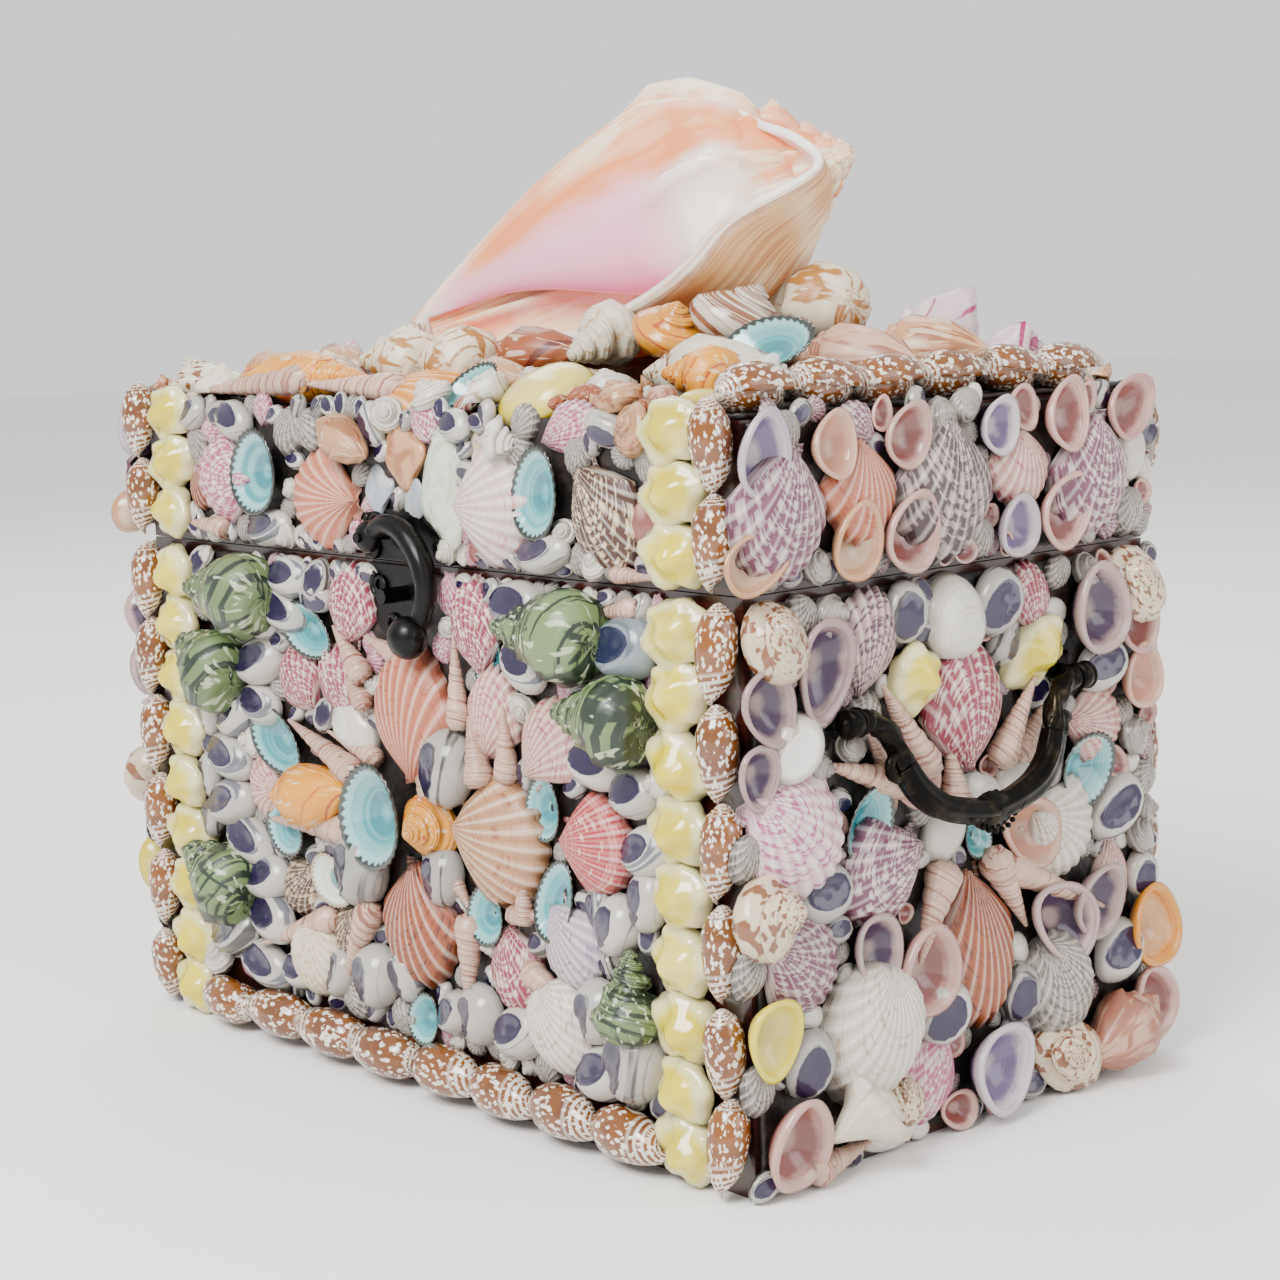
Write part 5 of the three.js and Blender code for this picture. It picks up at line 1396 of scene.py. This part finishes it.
for name, face, body, row in showpieces:
    shell_piece(f"{name}_dressed", [row], face, body, [name], 2)

# %% [markdown]
# ## The queen conch
# The crown of the box. The body and the spire are one coil with blunt knobs on its shoulder, pressed
# flat in front where the pink callus spreads. The flared lip is a sheet drawn between nine ribs.

# %%
conch_tail = Vector((-112, -16, 281))
conch_apex = Vector((112, 20, 345))
conch_length = (conch_apex - conch_tail).length
conch_axis = (conch_apex - conch_tail).normalized()
mouth_out = Vector((0.1, -0.9, 0.3))
mouth_out = (mouth_out - mouth_out.dot(conch_axis) * conch_axis).normalized()
crest_up = mouth_out.cross(conch_axis)
conch_turn = Matrix((conch_axis, crest_up, mouth_out)).transposed().to_4x4()
conch_place = Matrix.Scale(MM, 4) @ Matrix.Translation(conch_tail) @ conch_turn


def queen_conch_finish():
    material, tree, shader = new_material("queen conch", 0.4, IOR=1.53, Coat_Weight=0.15, Subsurface_Weight=0.1)
    ground, marking, inside, gloss, bands, streaks, seed, u, v = shell_colours(tree)
    place = add_node(tree, "ShaderNodeTexCoord").outputs["Object"]
    lines = pattern(tree, on_shell(tree, calculate(tree, "MULTIPLY", u, 3.0), calculate(tree, "MULTIPLY", v, 22.0), seed), 1.0, 4.0, distortion=0.8)
    clouds = pattern(tree, place, 34.0, 3.0, distortion=0.6)
    mask = calculate(tree, "MULTIPLY", step(tree, calculate(tree, "ADD", lines, calculate(tree, "MULTIPLY", clouds, 0.5)), 0.68, 0.88), streaks)
    colour = blend_colours(tree, mask, ground, marking)
    tree.links.new(colour, shader.inputs["Base Color"])
    tree.links.new(step(tree, gloss, 0.0, 1.0, 0.5, 0.2), shader.inputs["Roughness"])
    rough = calculate(tree, "MULTIPLY", lines, calculate(tree, "SUBTRACT", 1.0, gloss))
    relief(tree, shader, rough, 0.5, 0.0015)
    return material


finishes["conch"] = queen_conch_finish()


def mix_colour(first, second, t):
    return [a + (b - a) * t for a, b in zip(first, second)]


CREAM = linear("#f2e2c0")
APRICOT = linear("#ea8440")
SHELL_PINK = linear("#efa9bf")
DEEP_PINK = linear("#d2467e")
TAN = linear("#cfa46c")
WHITE_RIM = linear("#f6efe6")


def colour_conch(bm, colour_of):
    layers = [bm.verts.layers.float_color.new(name) for name in tokens]
    bm.normal_update()
    for v in bm.verts:
        ground, streak_colour, gloss, streaks = colour_of(v)
        for layer, value in zip(layers, (ground, streak_colour, ground, (gloss, 0, streaks, 0.3))):
            v[layer] = value


def finish_conch(bm, name):
    bmesh.ops.transform(bm, verts=bm.verts, matrix=conch_place)
    for v in bm.verts:
        v.co.z = min(v.co.z, 0.3772 + 0.3 * max(v.co.z - 0.3772, 0))
        v.co.z = min(v.co.z, 0.3786)
    mesh = finish_form(bm, name, 1, unit=False)
    mesh.materials.append(finishes["conch"])
    piece = bpy.data.objects.new(name, mesh)
    bpy.context.collection.objects.link(piece)
    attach(piece, "lid")
    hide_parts("queen_conch")
    return piece


profile = [(-0.19, 27), (-0.25, 40), (-0.33, 52), (-0.42, 53), (-0.53, 51), (-0.68, 41), (-0.8, 29), (-0.92, 15), (-1.0, 4),
           (-0.97, 2), (-0.8, 4), (-0.6, 7), (-0.4, 10), (-0.28, 14), (-0.22, 19)]
section = [(x * conch_length, r) for x, r in profile]
body = grow(section, 1.62, 6.0, 36, None)
around, along = measured(body)
shoulder = 2 / len(section)


def last_whorl(count):
    return 1.62 ** (min(count, 0.5) if count < 0.62 else max(0.5 * (1 - (count - 0.62) / 0.38), 0))


for v in body.verts:
    count = v[along]
    x, y, z = v.co
    if 0 <= count <= 1:
        free = smooth(v[around], 0.0, shoulder * 1.1)
        x, y, z = (value * (1 + (last_whorl(count) - 1) * free) for value in (x, y, z))
    if count >= 0:
        beat = max(math.cos(2 * math.pi * 8 * (count - 0.5)), 0) ** 3
        near = max(1 - ((v[around] - shoulder) / 0.11) ** 2, 0)
        knob = 1 + (0.42 if count > 0.7 else 0.24) * beat * near * (1 if count > 0.1 else 0)
        y, z = y * knob, z * knob
    if z > 0:
        z *= 1 - 0.5 * smooth(-x, 0.2 * conch_length, 0.3 * conch_length)
    if y > 20 and abs(z) < 30:
        place = 1 + x / conch_length
        y += 7 * math.exp(-((place - 0.745) / 0.035) ** 2) - 5 * math.exp(-((place - 0.655) / 0.03) ** 2)
        y += 4 * math.exp(-((place - 0.58) / 0.03) ** 2) + 1.5 * noise.noise(Vector((x, y, z)) * 0.09)
    v.co = (x, y, z)
bmesh.ops.subdivide_edges(body, edges=[e for e in body.edges if e.calc_length() > 9], cuts=1, use_grid_fill=True)
bmesh.ops.smooth_vert(body, verts=body.verts, factor=0.3, use_axis_x=True, use_axis_y=True, use_axis_z=True)
bmesh.ops.translate(body, verts=body.verts, vec=(conch_length, 0, 0))


def body_colour(v):
    x, y, z = v.co
    r = math.hypot(y, z) + 1e-6
    ragged = 9 * noise.noise(v.co * 0.06)
    far = x / conch_length
    front = smooth(13 + ragged - y, -5, 7) * smooth(z / r, -0.05, 0.3) * (1 - smooth(far, 0.8, 0.88))
    outer = mix_colour(CREAM, APRICOT, 0.35 * smooth(noise.noise(v.co * 0.03), -0.2, 0.4))
    edge = smooth(y, -6, 12) * smooth(38 + ragged - y, 0, 20) * smooth(z, -4, 6) * smooth(far, 0.12, 0.3)
    pink = mix_colour(SHELL_PINK, DEEP_PINK, smooth(-y, 6, 40) * 0.6)
    pale = max(1 - smooth(far, 0.03, 0.16), smooth(far, 0.6, 0.76))
    pink = mix_colour(pink, WHITE_RIM, 0.9 * pale)
    colour = mix_colour(mix_colour(outer, APRICOT, edge * 0.95), pink, front)
    return colour, APRICOT, front, 0.8 * (1 - front)


colour_conch(body, body_colour)
finish_conch(body, "conch_body")

lip_ribs = [
    ((0.02, -3, -2), (0.03, -8, 6)),
    ((0.28, -22, -6), (0.28, -33, 26)),
    ((0.52, -36, -8), (0.56, -51, 42)),
    ((0.68, -42, -8), (0.72, -55, 51)),
    ((0.78, -42, -8), (0.84, -48, 55)),
    ((0.83, -36, -8), (0.90, -32, 47)),
    ((0.88, -20, -4), (0.985, -15, 26)),
    ((0.85, -2, -2), (0.94, 0, 20)),
    ((0.78, 14, 0), (0.87, 14, 18)),
    ((0.74, 24, 0), (0.80, 26, 12)),
]
heart = Vector((0.55 * conch_length, 0, 45))


def between(values, t):
    spot = t * (len(values) - 1)
    i = min(int(spot), len(values) - 2)
    f = spot - i
    before = values[max(i - 1, 0)]
    after = values[min(i + 2, len(values) - 1)]
    a, b = values[i], values[i + 1]
    return 0.5 * (2 * a + (b - before) * f + (2 * before - 5 * a + 4 * b - after) * f ** 2
                  + (3 * a - before - 3 * b + after) * f ** 3)


roots = [Vector((x * conch_length, y, z)) for (x, y, z), rim in lip_ribs]
rims = [Vector((x * conch_length, y, z)) for root, (x, y, z) in lip_ribs]


def lip_place(across, along):
    root = between(roots, across)
    rim = between(rims, across)
    middle = root.lerp(rim, 0.5)
    middle += 0.14 * (rim - root).length * (middle - heart).normalized() * 2
    point = (1 - along) ** 2 * root + 2 * along * (1 - along) * middle + along ** 2 * rim
    outward = (point - heart).normalized()
    wave = 0.9 * math.sin(34 * across) + 1.3 * math.sin(11 * across + 1.0)
    return point + outward * wave * along ** 2 * 0.8


lip = sheet(72, 22)
bend(lip, lip_place)
bmesh.ops.recalc_face_normals(lip, faces=lip.faces)
if sum(f.normal.dot(heart - f.calc_center_median()) for f in lip.faces) < 0:
    bmesh.ops.reverse_faces(lip, faces=lip.faces)
bmesh.ops.solidify(lip, geom=list(lip.faces), thickness=3.2)
around, along = measured(lip)


def lip_colour(v):
    inner = smooth(v.normal.dot((heart - v.co).normalized()), -0.1, 0.3)
    rim = smooth(v[along], 0.9, 1.0)
    pink = mix_colour(DEEP_PINK, SHELL_PINK, smooth(v[around], 0.05, 0.4))
    inside = mix_colour(pink, WHITE_RIM, max(rim, smooth(v[around], 0.55, 0.95)) * 0.9)
    outside = mix_colour(TAN, CREAM, smooth(noise.noise(v.co * 0.05), -0.1, 0.5) * 0.6)
    outside = mix_colour(outside, WHITE_RIM, rim)
    return mix_colour(outside, inside, inner), linear("#a9713c"), inner, 0.7 * (1 - inner)


colour_conch(lip, lip_colour)
finish_conch(lip, "conch_lip")
print("conch", round(conch_length), "mm long")

# %% [markdown]
# ## Cast fittings
# Everything cast here is a round bar drawn along a path: the ring at the start is extruded from
# point to point, and its lobes and twist give the rope and the grooves.

# %%
def sweep(points, radii, sides=12, lobes=0, depth=0.0, twist=0.0, into=None):
    bm = into or bmesh.new()
    points = [Vector(p) for p in points]
    tangents = [(points[min(i + 1, len(points) - 1)] - points[max(i - 1, 0)]).normalized() for i in range(len(points))]
    normal = tangents[0].orthogonal().normalized()
    edges = None
    for i, (point, tangent) in enumerate(zip(points, tangents)):
        normal = (normal - normal.dot(tangent) * tangent).normalized()
        across = tangent.cross(normal)
        if edges is None:
            edges, verts = ring_edges(bm, [Vector((j, 0, 0)) for j in range(sides)])
            bmesh.ops.contextual_create(bm, geom=edges)
            order = verts
        else:
            before = {v: k for k, v in enumerate(order)}
            made = bmesh.ops.extrude_edge_only(bm, edges=edges)["geom"]
            fresh = [g for g in made if isinstance(g, bmesh.types.BMVert)]
            edges = [g for g in made if isinstance(g, bmesh.types.BMEdge) and all(v in fresh for v in g.verts)]
            partner = {}
            for v in fresh:
                partner[next(before[e.other_vert(v)] for e in v.link_edges if e.other_vert(v) in before)] = v
            order = [partner[k] for k in range(sides)]
        for j, v in enumerate(order):
            angle = 2 * math.pi * j / sides
            r = radii[i] * (1 + depth * math.cos(lobes * angle + twist * i))
            v.co = point + r * (math.cos(angle) * normal + math.sin(angle) * across)
    bmesh.ops.contextual_create(bm, geom=edges)
    return bm


def smooth_path(points, count):
    points = [Vector(p) for p in points]
    return [between(points, i / (count - 1)) for i in range(count)]


def volute(centre, start, turns, outer, across, up):
    points = []
    for i in range(int(turns * 14) + 1):
        angle = start + 2 * math.pi * i / 14
        r = outer * 0.78 ** (i / 7)
        points.append(Vector(centre) + r * (math.cos(angle) * Vector(across) + math.sin(angle) * Vector(up)))
    return points


def lump(bm, centre, size, turn=0.0, segments=16):
    made = bmesh.ops.create_uvsphere(bm, u_segments=segments, v_segments=segments // 2, radius=1.0)["verts"]
    place = Matrix.Translation(centre) @ Matrix.Rotation(turn, 4, "Z") @ Matrix.Diagonal((*size, 1))
    bmesh.ops.transform(bm, verts=made, matrix=place)


# %% [markdown]
# ## The bail handles
# From each post a rope-twisted bar runs to a scroll; from there a grooved bar sweeps down to a
# lozenge ringed with beads, between two leaves.

# %%
HANDLE_HEIGHT = 156
HALF_SPAN = 61
bail_half = [(55, 0), (49, 2), (43, 8), (40, 17), (35, 25), (26, 32), (13, 36)]


def bail_handle(label, face, middle):
    def at(along, drop):
        return Vector((middle + along, HANDLE_HEIGHT - drop, 14 + 0.2 * drop))

    bm = bmesh.new()
    for way in (-1, 1):
        rope = smooth_path([at(way * a, d) for a, d in bail_half[:4]], 26)
        sweep(rope, [3.7] * 26, 12, 3, 0.18, 0.55, bm)
        grooved = smooth_path([at(way * a, d) for a, d in bail_half[3:]] + [at(0, 38)], 30)
        sweep(grooved, [4.1 + 0.5 * math.sin(math.pi * i / 29) for i in range(30)], 24, 6, 0.12, 0.0, bm)
        sweep([at(way * 66, 0), at(way * 54, 0)], [2.4, 2.4], 12, into=bm)
        lump(bm, at(way * 55, 0), (3.4, 4.2, 4.2))
        scroll = volute(at(way * 43, 16), 0.5 if way > 0 else math.pi - 0.5, 1.5, 5.2, (way, 0, 0), (0, 1, 0))
        sweep(scroll, [2.4 - 1.2 * i / len(scroll) for i in range(len(scroll))], 8, into=bm)
        for k in range(3):
            lump(bm, at(way * (13 + 3 * k), 38 - 1.6 * k) + Vector((0, 0, 2.0)), (4.6 - k, 1.8, 1.8), way * 0.5, 10)
    lump(bm, at(0, 38), (10.5, 7.0, 4.1), 0, 24)
    for i in range(18):
        angle = 2 * math.pi * i / 18
        lump(bm, at(10.4 * math.cos(angle), 38 + 6.4 * math.sin(angle)) + Vector((0, 0, 1.9)), (1.1, 1.1, 1.1), 0, 8)
    bmesh.ops.transform(bm, verts=bm.verts, matrix=planes[face])
    bmesh.ops.recalc_face_normals(bm, faces=bm.faces)
    loose_piece(f"bail_{label}", bm, "bronze", f"handle_{label}", [f"handle_{label}_bail"])
    for way, post in ((-1, "a"), (1, "b")):
        bm = bmesh.new()
        centre = Vector((middle + way * HALF_SPAN, HANDLE_HEIGHT, 0))
        for r, z, thick in ((10, 0.6, 2.0), (7.4, 2.2, 1.6)):
            lump(bm, centre + Vector((0, 0, z)), (r, r, thick), 0, 24)
        for i in range(8):
            angle = 2 * math.pi * i / 8
            petal = centre + Vector((7.4 * math.cos(angle), 7.4 * math.sin(angle), 1.6))
            lump(bm, petal, (2.8, 2.2, 1.6), angle, 10)
        sweep([centre + Vector((0, 0, z)) for z in (1, 6, 10)], [4.4, 3.2, 3.0], 14, into=bm)
        for edge in (-3, 3):
            lump(bm, centre + Vector((edge * 0.9, 0, 13.6)), (1.2, 5.2, 5.2), 0, 16)
        sweep([centre + Vector((x, 0, 14)) for x in (-3, 3)], [4.6, 4.6], 16, into=bm)
        bmesh.ops.transform(bm, verts=bm.verts, matrix=planes[face])
        bmesh.ops.recalc_face_normals(bm, faces=bm.faces)
        loose_piece(f"post_{label}_{post}", bm, "bronze", "case", [f"handle_{label}_post_{post}"])


bail_handle("right", "right", -10)
bail_handle("left", "left", 10)

# %% [markdown]
# ## The clasp
# Two plates with scrolled edges, and a smooth hook that turns on the upper one and ends in a ball.

# %%
hook_points = [(-9, 210), (0, 215), (11, 213), (20, 205), (24, 194), (21, 184), (16, 175)]
bm = bmesh.new()
hook_path = smooth_path([(x, z, 10.7) for x, z in hook_points], 34)
sweep(hook_path, [3.2 + 1.2 * math.sin(math.pi * i / 33) for i in range(34)], 16, into=bm)
lump(bm, (16, 175, 14.0), (8, 8, 7.0), 0, 24)
lump(bm, (-9, 210, 11), (6, 6, 4.4), 0, 20)
bmesh.ops.transform(bm, verts=bm.verts, matrix=planes["front"])
bmesh.ops.recalc_face_normals(bm, faces=bm.faces)
loose_piece("hook_arm", bm, "iron", "hook", ["clasp_hook"])

bm = bmesh.new()
for centre, start, outer in (((-13, 214, 4), 2.5, 6.0), ((24, 206, 3.6), 0.5, 3.6), ((-16, 205, 3.6), 3.6, 3.4)):
    scroll = volute(centre, start, 1.6, outer, (1, 0, 0), (0, 1, 0))
    sweep(scroll, [1.5 - 0.9 * i / len(scroll) for i in range(len(scroll))], 8, into=bm)
bmesh.ops.transform(bm, verts=bm.verts, matrix=planes["front"])
bmesh.ops.recalc_face_normals(bm, faces=bm.faces)
loose_piece("lid_plate_scrolls", bm, "iron", "lid", [])
bm = bmesh.new()
for centre, start, outer in (((-13, 191, 3.6), 2.0, 5.0), ((-6, 177, 3.6), 4.4, 4.4), ((9, 180, 3.4), 5.4, 3.2)):
    scroll = volute(centre, start, 1.6, outer, (1, 0, 0), (0, 1, 0))
    sweep(scroll, [1.4 - 0.9 * i / len(scroll) for i in range(len(scroll))], 8, into=bm)
bmesh.ops.transform(bm, verts=bm.verts, matrix=planes["front"])
bmesh.ops.recalc_face_normals(bm, faces=bm.faces)
loose_piece("case_plate_scrolls", bm, "iron", "case", [])

# %% [markdown]
# ## Wood, plates and hinges keep their solids

# %%
kept = {"case_box": "wood", "lid_box": "wood", "clasp_lid_plate": "iron", "clasp_case_plate": "iron"}
for side_name in ("left", "right"):
    for part in ("case_leaf", "lid_leaf", "pin"):
        kept[f"hinge_{side_name}_{part}"] = "bronze"
for node_name, finish in kept.items():
    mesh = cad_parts[node_name].data
    mesh.materials.clear()
    mesh.materials.append(finishes[finish])

# %% [markdown]
# ## Studio
# A pale floor in an even white world, a broad soft key light above and in front, a weak fill from
# the right and a rim light from behind.

# %%
floor_material, floor_tree, floor_shader = new_material("pale paper", 0.8)
floor_shader.inputs["Base Color"].default_value = linear("#f4f3f1")
bm = bmesh.new()
bmesh.ops.create_grid(bm, x_segments=1, y_segments=1, size=6)
mesh = bpy.data.meshes.new("floor")
bm.to_mesh(mesh)
bm.free()
mesh.materials.append(floor_material)
floor = bpy.data.objects.new("floor", mesh)
bpy.context.collection.objects.link(floor)

world = bpy.data.worlds.new("studio")
world.use_nodes = True
world.node_tree.nodes["Background"].inputs[0].default_value = linear("#ffffff")
world.node_tree.nodes["Background"].inputs[1].default_value = 1.15
bpy.context.scene.world = world


def soft_light(name, place, size, power):
    light = bpy.data.lights.new(name, "AREA")
    light.size = size
    light.energy = power
    lamp = bpy.data.objects.new(name, light)
    aim = Vector((0, 0, 0.15)) - Vector(place)
    lamp.matrix_world = Matrix.Translation(place) @ aim.to_track_quat("-Z", "Y").to_matrix().to_4x4()
    bpy.context.collection.objects.link(lamp)


soft_light("key", (0.4, -1.6, 1.6), 1.0, 84)
soft_light("fill", (1.8, 0.3, 0.9), 1.4, 20)
soft_light("rim", (-1.2, 0.9, 1.5), 1.0, 14)
